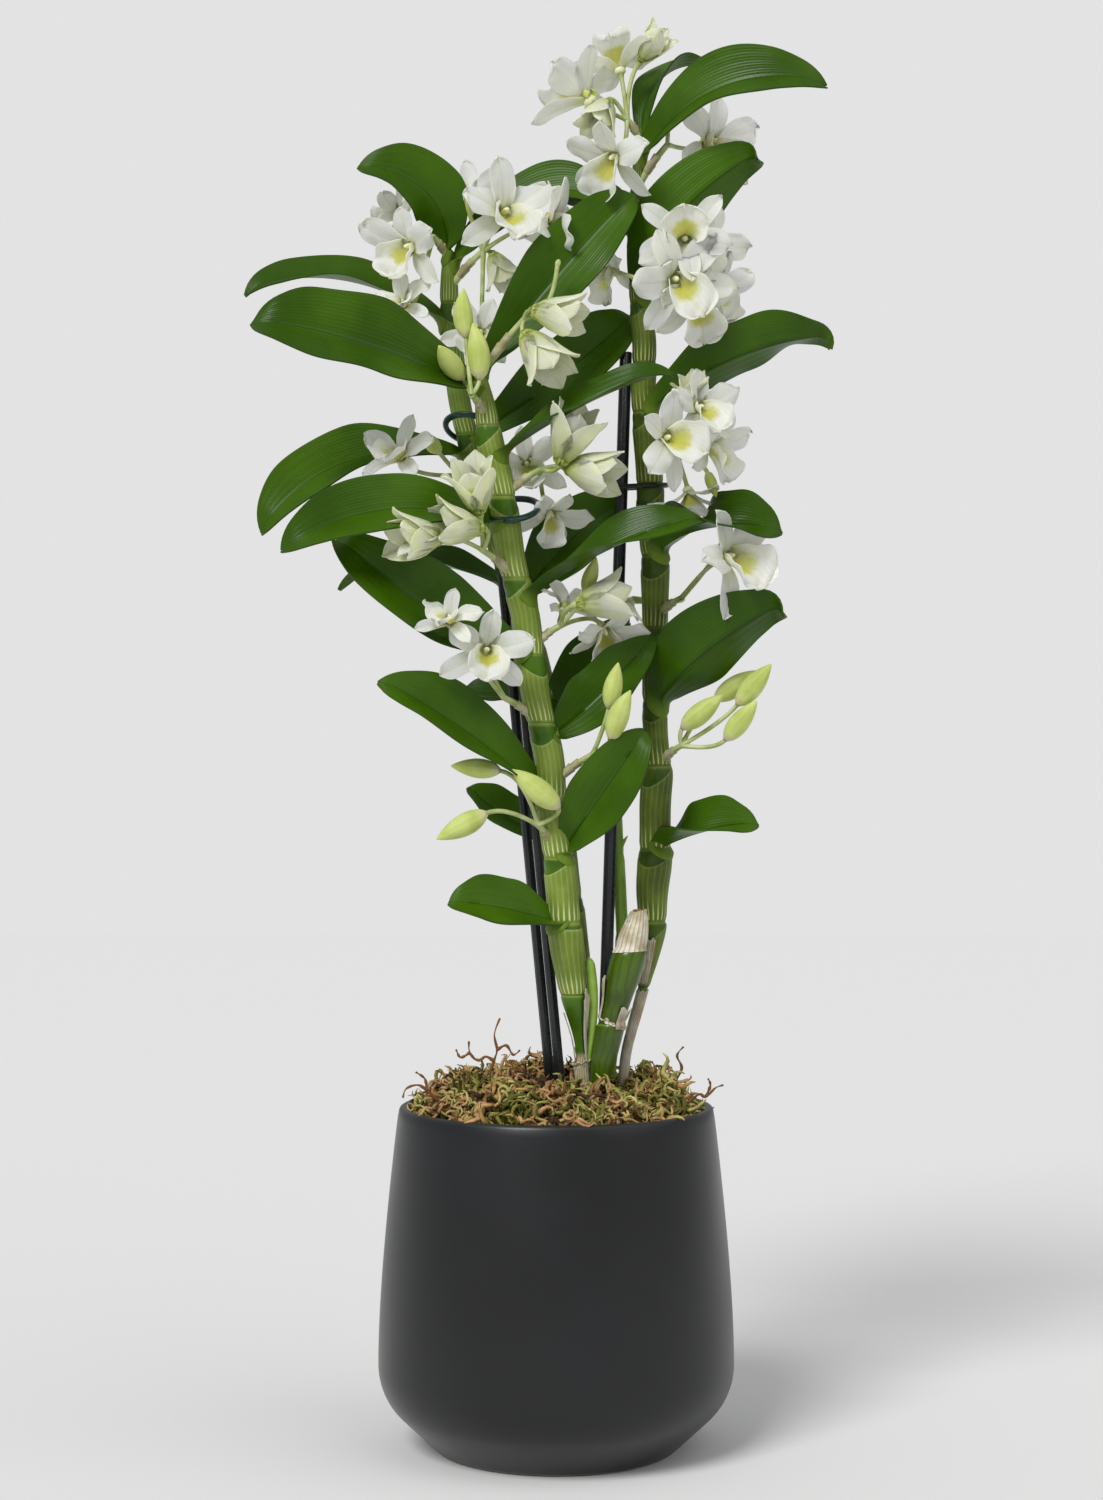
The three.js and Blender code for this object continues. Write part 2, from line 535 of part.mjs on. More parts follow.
// A blade with two long edges, thickest along its midrib
function leaf(spec, { z, mid, tip, width, roll }) {
  const base = caneAt(spec, z).centre;
  const bend = vector(mid).multiplyScalar(2).sub(base.clone().add(vector(tip)).multiplyScalar(0.5));
  const midrib = new THREE.QuadraticBezierCurve3(base, bend, vector(tip));
  const sixSided = new THREE.SphereGeometry(1, 6, LEAF_STEPS).rotateY(Math.PI / 6);
  return moulded(sixSided, (point) => {
    const t = Math.acos(THREE.MathUtils.clamp(-point.y, -1, 1)) / Math.PI;
    const along = midrib.getTangent(t);
    const turn = THREE.MathUtils.degToRad(THREE.MathUtils.lerp(roll[0], roll[1], t));
    const upper = new THREE.Vector3(0, -Math.sin(turn), Math.cos(turn));
    upper.addScaledVector(along, -upper.dot(along)).normalize();
    const across = along.clone().cross(upper);
    const half = (width / 2) * leafWidth(t);
    const ring = Math.max(Math.hypot(point.x, point.z), 1e-6);
    const side = point.x / ring / Math.cos(Math.PI / 6);
    const face = point.z / ring;
    return midrib.getPoint(t)
      .addScaledVector(across, side * half)
      .addScaledVector(upper, (face * LEAF_THICKNESS) / 2 + Math.abs(side) * half * 2 * LEAF_CHANNEL);
  });
}

for (const [caneName, rows] of Object.entries(LEAVES)) {
  rows.forEach((row, k) => {
    add(`leaf_${caneName}_${String(k + 1).padStart(2, "0")}`, leaf(CANES[caneName], row), COLOURS.leaf);
  });
}

// --- Flower sprays ---

// Turns a shape that looks along +Z so that it looks along a direction, and moves it there
function facing(geometry, look, at) {
  const turn = new THREE.Quaternion().setFromUnitVectors(UP, look);
  return geometry.applyQuaternion(turn).translate(...at.toArray());
}

// An open flower as one shallow star with a tip for each petal
function star(at, look, span) {
  const tips = PETAL_COUNT;
  const disc = new THREE.SphereGeometry(1, tips * 2, 2).rotateX(Math.PI / 2);
  const place = disc.attributes.position;
  for (let i = 0; i < place.count; i++) {
    const edge = Math.hypot(place.getX(i), place.getY(i));
    const turn = Math.atan2(place.getY(i), place.getX(i));
    const reach = edge * (0.78 + 0.22 * Math.cos(tips * turn)) * (span / 2);
    const depth = edge > 0.5 ? 0.1 : -0.12 + 0.08 * place.getZ(i);
    place.setXYZ(i, reach * Math.cos(turn), reach * Math.sin(turn), depth * span);
  }
  return solidOf(facing(disc, look, at));
}

// A bud as a spindle, fullest below its middle
function spindle(at, look, length) {
  const body = new THREE.SphereGeometry(1, 6, 4).rotateX(Math.PI / 2);
  body.scale(length * 0.22, length * 0.22, length / 2);
  return solidOf(facing(body, look, at));
}

function spray(spec, { z, fork, flowers = [], buds = [] }) {
  const foot = caneAt(spec, z).centre;
  const split = vector(fork);
  let grownSpray = bar(foot, split, STALK_RADIUS, 6);
  const place = (row, behind, shape) => {
    const at = vector(row.at);
    const look = vector(row.look).normalize();
    const back = at.clone().addScaledVector(look, -behind * row.span);
    const reach = back.distanceTo(split);
    const bend = row.via ? vector(row.via) : back.clone().addScaledVector(look, -reach * 0.35);
    const pedicel = new THREE.QuadraticBezierCurve3(split, bend, back);
    grownSpray = grownSpray.add(stalk(pedicel, PEDICEL_RADIUS, 4, 4)).add(shape(at, look, row.span));
  };
  flowers.forEach((row) => place(row, FLOWER_BEHIND, star));
  buds.forEach((row) => place(row, BUD_BEHIND, spindle));
  return grownSpray;
}

for (const [caneName, rows] of Object.entries(SPRAYS)) {
  rows.forEach((row, k) => {
    add(`spray_${caneName}_${k + 1}`, spray(CANES[caneName], row), COLOURS.spray);
  });
}

export default orchid;
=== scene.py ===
import math
import random

import bpy
from mathutils import Matrix, Vector, noise


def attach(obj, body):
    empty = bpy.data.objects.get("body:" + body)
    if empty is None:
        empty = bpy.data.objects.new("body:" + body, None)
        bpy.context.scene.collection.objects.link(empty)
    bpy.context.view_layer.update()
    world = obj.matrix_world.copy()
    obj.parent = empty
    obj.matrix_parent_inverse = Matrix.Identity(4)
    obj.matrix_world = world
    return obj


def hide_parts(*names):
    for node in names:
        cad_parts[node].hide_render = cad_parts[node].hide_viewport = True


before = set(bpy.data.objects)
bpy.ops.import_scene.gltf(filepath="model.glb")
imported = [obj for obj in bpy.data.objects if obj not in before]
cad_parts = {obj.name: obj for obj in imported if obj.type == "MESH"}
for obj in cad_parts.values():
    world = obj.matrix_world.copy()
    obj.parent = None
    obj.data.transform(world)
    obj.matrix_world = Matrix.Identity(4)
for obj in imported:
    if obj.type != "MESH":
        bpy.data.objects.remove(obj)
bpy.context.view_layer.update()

# --- Camera ---
# A long lens, level with the middle of the plant and square on to the pot. All sizes in this
# file are millimetres and are scaled to metres where a mesh is made.
MM = 0.001
CAMERA_PLACE = (-2.1, -1250, 313)
CAMERA_LENS = 66.67
CAMERA_SENSOR = 36

bpy.ops.object.camera_add(location=Vector(CAMERA_PLACE) * MM, rotation=(math.pi / 2, 0, 0))
camera = bpy.context.object
camera.name = "camera"
camera.data.lens = CAMERA_LENS
camera.data.sensor_width = CAMERA_SENSOR
bpy.context.scene.camera = camera

# --- Floor and light ---
# A wide pale tabletop under an evenly bright white room, with one big soft lamp from the upper
# left and a weaker one from the right. The tabletop is as bright as the room, so its edge is lost.
ROOM_SEEN = (0.765, 0.77, 0.765)
ROOM_LIGHT = (0.38, 0.385, 0.39)
FLOOR_COLOUR = (0.82, 0.82, 0.81)
FLOOR_WIDTH = 7000
FLOOR_DROP = 0.2  # keeps the tabletop just clear of the foot ring
LAMPS = {"key": (2.17, 24, (48, 6, -36)), "fill": (0.5, 60, (50, -5, 60))}  # strength, softness, turn


def finish(name, colour, roughness, **sockets):
    """A material with one shader; further socket values go by name, with _ for a space."""
    material = bpy.data.materials.new(name)
    material.use_nodes = True
    shader = material.node_tree.nodes["Principled BSDF"]
    shader.inputs["Base Color"].default_value = (*colour, 1)
    shader.inputs["Roughness"].default_value = roughness
    for socket, value in sockets.items():
        shader.inputs[socket.replace("_", " ")].default_value = value
    return material


bpy.context.scene.view_settings.view_transform = "Standard"
bpy.context.scene.world = bpy.data.worlds.new("room")
room = bpy.context.scene.world
room.use_nodes = True
backdrop = room.node_tree.nodes["Background"]
seen = room.node_tree.nodes.new("ShaderNodeMixRGB")
seen.inputs["Color1"].default_value = (*ROOM_LIGHT, 1)
seen.inputs["Color2"].default_value = (*ROOM_SEEN, 1)
directly = room.node_tree.nodes.new("ShaderNodeLightPath").outputs["Is Camera Ray"]
room.node_tree.links.new(directly, seen.inputs["Fac"])
room.node_tree.links.new(seen.outputs["Color"], backdrop.inputs["Color"])

bpy.ops.object.select_all(action="DESELECT")
bpy.ops.mesh.primitive_plane_add(size=FLOOR_WIDTH * MM, location=(0, 0, -FLOOR_DROP * MM))
floor = bpy.context.object
floor.name = "floor"
floor.data.materials.append(finish("floor_white", FLOOR_COLOUR, 0.9, Specular_IOR_Level=0.1))

for lamp_name, (strength, softness, turn) in LAMPS.items():
    bpy.ops.object.light_add(type="SUN", rotation=[math.radians(part) for part in turn])
    lamp = bpy.context.object
    lamp.name = lamp_name
    lamp.data.energy = strength
    lamp.data.angle = math.radians(softness)

# --- Cover pot ---
# A slip-cast stoneware pot in a matt charcoal glaze, thrown round and a little narrower at the
# rim. It stands on a foot ring that was wiped bare of glaze before firing.
POT_RIM_RADIUS = 71
POT_BELLY = (80, 38)  # radius and height
POT_FOOT_ROUND = 31
POT_HEIGHT = 153.5
POT_WALL = 5
POT_FLOOR = 6
POT_FOOT_RING = (50, 47, 2.2)  # outer and inner radius of the ring's inner slope, and its depth
POT_FOOT_EDGE = [(-1.2, 0), (0.6, 1.6)]  # out from the foot's rounding, and up
POT_RIM_ROUND = 2.5
POT_RIM = [(0.7, 0.7), (POT_RIM_ROUND, 0), (4.3, 0.8)]  # in and down from the rim's outer corner
POT_FLOOR_EDGE = [(7, 1), (14, 0)]  # in from the wall's foot, and up from the floor
POT_AROUND = 96


def shade(code):
    """A colour code as the linear colour that a shader reads."""
    parts = [int(code[i:i + 2], 16) / 255 for i in (0, 2, 4)]
    return tuple(p / 12.92 if p <= 0.04045 else ((p + 0.055) / 1.055) ** 2.4 for p in parts)


def smooth(value, low, high):
    """0 below low, 1 above high, and an even curve between."""
    share = min(max((value - low) / (high - low), 0), 1)
    return share * share * (3 - 2 * share)


def node(tree, kind, values=None, **settings):
    """A shader node: values go to its inputs, as a constant or from another node's output."""
    made = tree.nodes.new("ShaderNode" + kind)
    for setting, value in settings.items():
        setattr(made, setting, value)
    for socket, value in (values or {}).items():
        if isinstance(value, bpy.types.NodeSocket):
            tree.links.new(value, made.inputs[socket])
        else:
            made.inputs[socket].default_value = value
    return made


def calc(tree, operation, first, second=0.0, third=0.0):
    """The output of a maths node."""
    return node(tree, "Math", {0: first, 1: second, 2: third}, operation=operation).outputs[0]


def between(tree, value, low, high, at_low=0.0, at_high=1.0):
    """Value as a smooth share between low and high."""
    values = {"Value": value, "From Min": low, "From Max": high, "To Min": at_low, "To Max": at_high}
    return node(tree, "MapRange", values, interpolation_type="SMOOTHSTEP").outputs["Result"]


def mixed(tree, share, first, second, how="MIX"):
    """Two colours mixed by a share from 0 to 1."""
    first, second = [(*c, 1) if isinstance(c, tuple) and len(c) == 3 else c for c in (first, second)]
    values = {0: share, 6: first, 7: second}
    return node(tree, "Mix", values, data_type="RGBA", blend_type=how).outputs[2]


def feed(material, **sources):
    """Joins node outputs to the shader's sockets by name, with _ for a space."""
    tree = material.node_tree
    for socket, source in sources.items():
        tree.links.new(source, tree.nodes["Principled BSDF"].inputs[socket.replace("_", " ")])


def relief(tree, height, depth, strength=1.0):
    """A bump of a depth in millimetres, for the shader's Normal."""
    values = {"Height": height, "Distance": depth * MM, "Strength": strength}
    return node(tree, "Bump", values).outputs["Normal"]


def new_group(name, inputs, outputs):
    """An empty shader node group with number inputs and the outputs named, and its two ends."""
    group = bpy.data.node_groups.new(name, "ShaderNodeTree")
    for socket, value in inputs.items():
        made = group.interface.new_socket(socket, in_out="INPUT", socket_type="NodeSocketFloat")
        made.default_value = value
    for socket in outputs:
        group.interface.new_socket(socket, in_out="OUTPUT", socket_type="NodeSocketFloat")
    return group, group.nodes.new("NodeGroupInput").outputs, group.nodes.new("NodeGroupOutput").inputs


def use_group(tree, group, **values):
    """A node group placed in a material with values of its own."""
    placed = node(tree, "Group", node_tree=group)
    for socket, value in values.items():
        placed.inputs[socket].default_value = value
    return placed.outputs


# Mottle: broad soft patches and a fine grain, in object space, for all that grew, was fired or moulded
mottle, given, result = new_group("mottle", {"Broad": 60.0, "Fine": 900.0}, ["Patches", "Grain"])
coordinates = node(mottle, "TexCoord").outputs["Object"]
patches = node(mottle, "TexNoise", {"Vector": coordinates, "Scale": given["Broad"], "Detail": 3.0})
grain = node(mottle, "TexNoise", {"Vector": coordinates, "Scale": given["Fine"], "Detail": 2.0})
mottle.links.new(between(mottle, patches.outputs["Fac"], 0.3, 0.7), result["Patches"])
mottle.links.new(grain.outputs["Fac"], result["Grain"])


def deselect():
    bpy.ops.object.select_all(action="DESELECT")


def turned_up(name, profile, around):
    """A solid turned on Z: its foot face is extruded over the wall's points of radius and height."""
    deselect()
    radius, height = profile[0]
    bpy.ops.mesh.primitive_circle_add(
        vertices=around, radius=radius * MM, fill_type="NGON", location=(0, 0, height * MM))
    piece = bpy.context.object
    piece.name = name
    bpy.ops.object.transform_apply(location=True)
    bpy.ops.object.mode_set(mode="EDIT")
    bpy.ops.mesh.select_mode(type="FACE")
    bpy.ops.mesh.select_all(action="SELECT")
    for next_radius, next_height in profile[1:]:
        rise = (0, 0, (next_height - height) * MM)
        bpy.ops.mesh.extrude_region_move(TRANSFORM_OT_translate={"value": rise})
        share = next_radius / radius
        bpy.ops.transform.resize(value=(share, share, 1), center_override=(0, 0, next_height * MM))
        radius, height = next_radius, next_height
    bpy.ops.mesh.inset(thickness=radius * 0.4 * MM)
    bpy.ops.mesh.poke()
    bpy.ops.mesh.select_all(action="SELECT")
    bpy.ops.mesh.normals_make_consistent(inside=False)
    bpy.ops.object.mode_set(mode="OBJECT")
    return piece


def finished_with(piece, kind, **settings):
    """A modifier put on and applied."""
    modifier = piece.modifiers.new(kind.lower(), kind)
    for setting, value in settings.items():
        setattr(modifier, setting, value)
    bpy.context.view_layer.objects.active = piece
    bpy.ops.object.modifier_apply(modifier=modifier.name)


def smoothed(piece, angle=180):
    """Shaded smooth, apart from edges sharper than the angle."""
    deselect()
    piece.select_set(True)
    bpy.context.view_layer.objects.active = piece
    bpy.ops.object.shade_smooth_by_angle(angle=math.radians(angle))


def hand_over(piece, slot, *nodes):
    """The piece rides on the pot's body, and stands for its CAD nodes in its own finish."""
    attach(piece, "root")
    if nodes:
        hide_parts(*nodes)


def pot_side(inset, steps):
    """Points of radius and height up the wall, a wall thickness further in or not."""
    belly, level = POT_BELLY
    arc = [math.radians(-45 + 45 * k / steps) for k in range(steps)]
    centre, reach = belly - POT_FOOT_ROUND, POT_FOOT_ROUND - inset
    points = [(centre + reach * math.cos(a), level + reach * math.sin(a)) for a in arc]
    start, turn = (belly - inset, level), (belly - inset, 2 * level)
    end = (POT_RIM_RADIUS - inset, POT_HEIGHT - POT_RIM_ROUND)
    for k in range(steps + 1):
        t = k / steps
        points.append(tuple((1 - t) ** 2 * a + 2 * t * (1 - t) * b + t * t * c
                            for a, b, c in zip(start, turn, end)))
    return points


wall_out = pot_side(0, 8)
wall_in = [point for point in pot_side(POT_WALL, 6) if point[1] > POT_FLOOR + 4]
foot_radius = wall_out[0][0] - wall_out[0][1]
ring_out, ring_in, ring_depth = POT_FOOT_RING
ring = [(ring_in, ring_depth), (ring_out, 0)]
ring += [(foot_radius + out, up) for out, up in POT_FOOT_EDGE]
rim = [(POT_RIM_RADIUS - inwards, POT_HEIGHT - down) for inwards, down in POT_RIM]
floor_edge = [(wall_in[0][0] - inwards, POT_FLOOR + up) for inwards, up in POT_FLOOR_EDGE]
cover_pot = turned_up("cover_pot_glazed", ring + wall_out + rim + wall_in[::-1] + floor_edge, POT_AROUND)
finished_with(cover_pot, "SUBSURF", levels=1, render_levels=1)
smoothed(cover_pot)

glaze = finish("charcoal_glaze", shade("1b1c1e"), 0.38, Specular_IOR_Level=0.32, Coat_Weight=0.3,
               Coat_Roughness=0.27)
tree = glaze.node_tree
fired = use_group(tree, mottle, Broad=14.0, Fine=1400.0)
height_on_pot = node(tree, "SeparateXYZ", {0: node(tree, "TexCoord").outputs["Object"]}).outputs["Z"]
# Lighter at the rim's top: partly the glaze running thin over the edge, partly a painted highlight along the
# rounded rim
thin_glaze_and_highlight = between(tree, height_on_pot, (POT_HEIGHT - 2.4) * MM, (POT_HEIGHT + 0.6) * MM)
bare = between(tree, height_on_pot, 1.1 * MM, 0.5 * MM)
body = mixed(tree, fired["Patches"], shade("0a0b0c"), shade("121316"))
body = mixed(tree, calc(tree, "MULTIPLY", thin_glaze_and_highlight, 0.5), body, shade("323436"))
feed(glaze, Base_Color=mixed(tree, bare, body, shade("8a8178")),
     Roughness=calc(tree, "MULTIPLY_ADD", fired["Patches"], 0.09, 0.36),
     Normal=relief(tree, fired["Grain"], 0.05, 0.35))
cover_pot.data.materials.append(glaze)
hand_over(cover_pot, "pot_glaze", "cover_pot")

# --- Nursery pot and bark ---
# The thin black growing pot stands unseen inside the cover pot, packed with chipped fir bark
# that the roots and the sticks hold on to.
BARK_CHIPS = 130.0  # chips to a metre

plastic = finish("recycled_black_plastic", shade("17181a"), 0.55)
tree = plastic.node_tree
moulding = use_group(tree, mottle, Broad=40.0, Fine=1500.0)
feed(plastic, Roughness=calc(tree, "MULTIPLY_ADD", moulding["Patches"], 0.2, 0.45),
     Normal=relief(tree, moulding["Grain"], 0.08))

bark = finish("fir_bark", shade("4b2f1d"), 0.9)
tree = bark.node_tree
coordinates = node(tree, "TexCoord").outputs["Object"]
chips = node(tree, "TexVoronoi", {"Vector": coordinates, "Scale": BARK_CHIPS}, feature="F1")
gaps = node(tree, "TexVoronoi", {"Vector": coordinates, "Scale": BARK_CHIPS}, feature="DISTANCE_TO_EDGE")
chip_tone = node(tree, "SeparateXYZ", {0: chips.outputs["Color"]}).outputs["X"]
chip_colour = mixed(tree, chip_tone, shade("3a2417"), shade("7a5232"))
# The gaps between chips are sunk in relief and painted near black as shade
gap_depth_and_shade = between(tree, gaps.outputs["Distance"], 0.0, 0.12)
feed(bark, Base_Color=mixed(tree, gap_depth_and_shade, shade("140d08"), chip_colour),
     Normal=relief(tree, gap_depth_and_shade, 2.5))
for node_name, material in {"nursery_pot": plastic, "bark_medium": bark}.items():
    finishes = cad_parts[node_name].data.materials
    finishes.clear()
    finishes.append(material)

# --- Support sticks ---
# Three black plastic sticks, drawn with shallow ridges down their length, pushed into the bark
# beside the canes that they hold up.
STICKS = {  # foot, top, radius
    "stake_left_front": ((14.6, -4, 30), (-23.5, -4, 432), 2.15),
    "stake_left_back": ((10, -0.5, 30), (-31.5, 0, 468), 2.15),
    "stake_right": ((17, 7, 30), (31.6, 7, 493), 2.7),
}
STICK_RIDGES = 9
RIDGE_DEPTH = 0.05  # as a share of the stick's radius
STICK_EDGE = 0.35

stick_black = finish("stick_plastic", shade("101216"), 0.3, Specular_IOR_Level=0.6)
tree = stick_black.node_tree
drawn = use_group(tree, mottle, Broad=30.0, Fine=700.0)
feed(stick_black, Base_Color=mixed(tree, drawn["Patches"], shade("0d0f12"), shade("1b2126")),
     Roughness=calc(tree, "MULTIPLY_ADD", drawn["Grain"], 0.3, 0.16),
     Normal=relief(tree, drawn["Grain"], 0.06))

for node_name, (foot, top, radius) in STICKS.items():
    foot, top = Vector(foot), Vector(top)
    along = top - foot
    deselect()
    bpy.ops.mesh.primitive_cylinder_add(
        vertices=4 * STICK_RIDGES, radius=radius * MM, depth=along.length * MM,
        location=(foot + top) / 2 * MM, rotation=along.to_track_quat("Z", "Y").to_euler())
    stick = bpy.context.object
    stick.name = node_name + "_ridged"
    for vertex in stick.data.vertices:
        turn = math.atan2(vertex.co.y, vertex.co.x)
        ridge = 1 + RIDGE_DEPTH * math.cos(STICK_RIDGES * turn)
        vertex.co.x *= ridge
        vertex.co.y *= ridge
    bpy.ops.object.transform_apply()
    finished_with(stick, "BEVEL", width=STICK_EDGE * MM, segments=2, limit_method="ANGLE",
                  angle_limit=math.radians(60))
    smoothed(stick, 45)
    stick.data.materials.append(stick_black)
    hand_over(stick, "stake_plastic", node_name)

# --- Canes ---
# Three leafy canes, jointed like bamboo. Each joint carries a pale ribbed sheath that wraps the
# joint's stretch of cane up to a V-shaped mouth, where its leaf stands off; above the mouth the
# cane shows bare, dark and glossy, up to the next joint.
CANES = {
    "front": {
        "node": "cane_front_left",
        "axis": [
            (12.5, -11, 155, 3.2), (11.7, -12, 170, 2.9), (10.5, -13.5, 182, 2.5), (9.2, -15.5, 192, 3.8),
            (7.7, -17, 203, 6.0), (5.2, -19, 220, 7.2), (3.9, -20, 233, 7.6), (1.7, -21, 260, 7),
            (-1.4, -21, 282, 6.8), (-2.8, -22, 309, 6.6), (-9, -22, 335, 6.5), (-13.2, -22, 371, 6.4),
            (-20, -22, 397, 6.6), (-24.9, -22, 433, 6), (-29.8, -22, 450, 6.2), (-31, -22, 464, 4.8),
            (-34.6, -22, 482, 2.4),
        ],
        "joints": [155, 175, 205, 237, 266, 292, 325, 356, 389, 425, 457, 482],
        "low_sheaths": {2: (0.0, 0.15), 3: (0.9, 0.06)},
        "dry_up_to": 178,
    },
    "back": {
        "node": "cane_back_left",
        "axis": [
            (17, 7, 155, 4), (14.5, 8, 172, 4), (9.5, 13, 217, 6.5), (2.7, 15, 267, 6.5),
            (-3.7, 16, 308, 6.2), (-5.5, 17, 340, 6), (-14.2, 18, 372, 6), (-26.9, 20, 409, 5.8),
            (-35.6, 20, 436, 5.8), (-41, 19, 458, 5.4), (-44.2, 18, 472, 5), (-48.8, 18, 513, 4.4),
            (-48.8, 18, 526, 4.2), (-48.8, 18, 543, 2.2),
        ],
        "joints": [155, 187, 217, 247, 277, 307, 338, 368, 398, 428, 458, 488, 518, 543],
        "dry_up_to": 168,
    },
    "right": {
        "node": "cane_right",
        "axis": [
            (29.5, 6, 155, 2.3), (31.5, 5, 177, 2.1), (39.6, 5, 206, 2.4), (42.2, 5, 218, 4.0),
            (43.5, 5, 232, 6.3), (43.3, 5, 250, 7.4), (44.7, 5, 262, 7.6), (44.7, 5, 290, 7),
            (46, 5, 304, 6.8), (45, 5, 318, 5.5), (44.2, 5, 336, 5.5), (44.7, 5, 363, 5.9),
            (44.7, 5, 399, 6.4), (42.4, 5, 417, 6), (42.4, 5, 433, 6.3), (41.5, 5, 449, 6.2),
            (39.2, 5, 471, 5.5), (40, 5, 498, 5.6), (37.4, 5, 516, 4.6), (37, 5, 539, 4),
            (36.5, 5, 562, 3.4), (37.4, 5, 580, 2.5), (38.3, 5, 594, 1.8),
        ],
        "joints": [155, 206, 236, 269, 306, 336, 369, 401, 433, 466, 488, 516, 543, 567, 594],
        "dry_up_to": 203,
    },
    "old": {
        "node": "rhizome_and_old_cane",
        "axis": [
            (18.5, -13, 152, 4.2), (19.4, -14, 166, 4.6), (21.8, -14, 180, 6.2), (24.4, -14, 191, 6.2),
            (27.3, -14, 202, 6.4), (30.2, -14, 213, 7.8), (32.6, -14, 222, 7.7), (34.8, -14, 233, 6.0),
            (37, -14, 241, 3.6),
        ],
        "joints": [152, 192, 225, 241],
    },
    "young": {
        "node": "shoot_young",
        "axis": [
            (24, 15, 155, 2.2), (25.4, 15, 172, 2.3), (29.1, 15, 199, 2.6), (30, 14, 233, 2.9),
            (28.2, 14, 263, 2.9), (27.7, 14, 277, 2.8), (26.6, 14, 309, 1.8),
        ],
        "joints": [155, 193, 229, 265, 309],
    },
}
# Leaves, from the bottom of a cane up: the height of the base, a point at mid length, the tip, the
# width, and the turn in degrees at base and tip. On some there follow how far the tip curls under,
# in radians, and how deep the blade is folded.
LEAVES = {
    "front": [
        (236, (-22, -38, 244), (-47, -48, 248), 26, (45, 55)),
        (266, (21, -34, 295), (39, -38, 322), 27, (75, 75)),
        (291, (-40, -45, 322), (-76, -60, 344), 31, (40, 50)),
        (318, (19, -16, 337), (44, -12, 366), 25, (75, 60)),
        (355, (-55, -42, 375), (-96, -48, 407), 34, (60, 60)),
        (379, (24, -38, 402), (66, -38, 416), 25, (10, 45)),
        (413, (-72, -52, 417), (-119, -66, 399), 29, (55, 65)),
        (442, (13, -38, 465), (52, -36, 480), 22, (25, 30)),
        (472, (-84, -50, 489), (-132, -60, 498), 38, (60, 65)),
        (480, (4, -16, 528), (36, -14, 562), 31, (75, 75)),
    ],
    "back": [
        (270, (-23, 22, 283), (-40, 20, 297), 20, (45, 45)),
        (326, (14, 10, 350), (32, -2, 371), 24, (75, 60)),
        (336, (-29, 22, 337), (-48, 26, 338), 20, (25, 25)),
        (385, (-60, 26, 399), (-102, 28, 389), 22, (25, 25)),
        (381, (7, 14, 409), (30, 16, 426), 30, (75, 75)),
        (447, (-94, 0, 443), (-133, -14, 410), 30, (40, 50)),
        (454, (7, 12, 487), (35, 14, 512), 29, (75, 75)),
        (507, (-97, 22, 529), (-142, 10, 522), 25, (25, 35)),
        (533, (-10, 8, 563), (26, 0, 561), 27, (50, 50)),
        (538, (-59, 8, 566), (-90, 0, 577), 30, (70, 60)),
    ],
    "right": [
        (268, (64, -12, 277), (91, -16, 281), 24, (10, 52), 0.75, 0.4),
        (332, (65, -20, 356), (104, -26, 381), 36, (-70, -50), 2.2, 0.24),
        (401, (66, -20, 412), (101, -28, 410), 30, (-30, 58), 0.75, 0.36),
        (466, (82, -16, 489), (127, -16, 498), 28, (-60, -30), 2.2, 0.24),
        (516, (54, -9, 551), (94, -8, 583), 33, (-75, -60), 2.2, 0.24),
        (543, (20, 14, 560), (3, 14, 564), 22, (50, 50)),
        (579, (73, -14, 608), (121, -20, 609), 30, (48, 60)),
        (590, (48, 16, 620), (72, 22, 627), 18, (5, 5)),
    ],
}
CANE_AROUND = 40
CANE_RING_STEP = 1.3
CANE_EASING = (-5, -2.5, 0, 2.5, 5)  # heights over which the axis is averaged to a smooth bend
RIBS = 18
RIB_HEIGHT = 0.25  # just above a joint
RIB_RUN = 6  # how far up from a joint the ribs sink away
FAINT_RIB = 0.05  # what is left of a rib further up
SHEATH_THICKNESS = 0.4
MOUTH_SHAPE = (0.69, 0.33)  # a sheath's mouth at its V and its rise behind, as shares of the stretch
BARE_MOUTHS = (-130, -50)  # where the V lies on even and odd stretches without a leaf, in degrees
LEAF_ASIDE = (40, 22)  # how far from the front it lies beside a leaf, and how much that varies
LEAF_BELOW = 6  # a leaf's sheath is looked for this far below the leaf's base
SWELL = (0.06, 0.1)  # how much thinner a stretch is at its foot, and how much it gains by its top
PINCHES = ((0.07, 1.5), (0.09, 1.6))  # depth and reach of the pinch above and below a joint
CANE_TIP_ROUND = 3


def cane_at(cane, height):
    """Centre and radius of a cane at a height."""
    axis = cane["axis"]
    total = Vector((0, 0, 0, 0))
    for offset in CANE_EASING:
        level = min(max(height + offset, axis[0][2]), axis[-1][2])
        upper = next((k for k in range(1, len(axis)) if axis[k][2] >= level), len(axis) - 1)
        low, high = Vector(axis[upper - 1]), Vector(axis[upper])
        total += low.lerp(high, (level - low[2]) / (high[2] - low[2]))
    total /= len(CANE_EASING)
    return Vector((total[0], total[1], height)), total[3]


def moulded(name, across, along, shape):
    """A flat blank, moulded point by point: shape(s, t) places the point s across, from -1 to 1, and
    t along, from 0 to 1."""
    deselect()
    bpy.ops.mesh.primitive_grid_add(x_subdivisions=across, y_subdivisions=along, size=2, calc_uvs=True)
    sheet = bpy.context.object
    sheet.name = name
    flat = []
    for vertex in sheet.data.vertices:
        flat.extend(shape(vertex.co.x, (vertex.co.y + 1) / 2) * MM)
    sheet.data.vertices.foreach_set("co", flat)
    return sheet


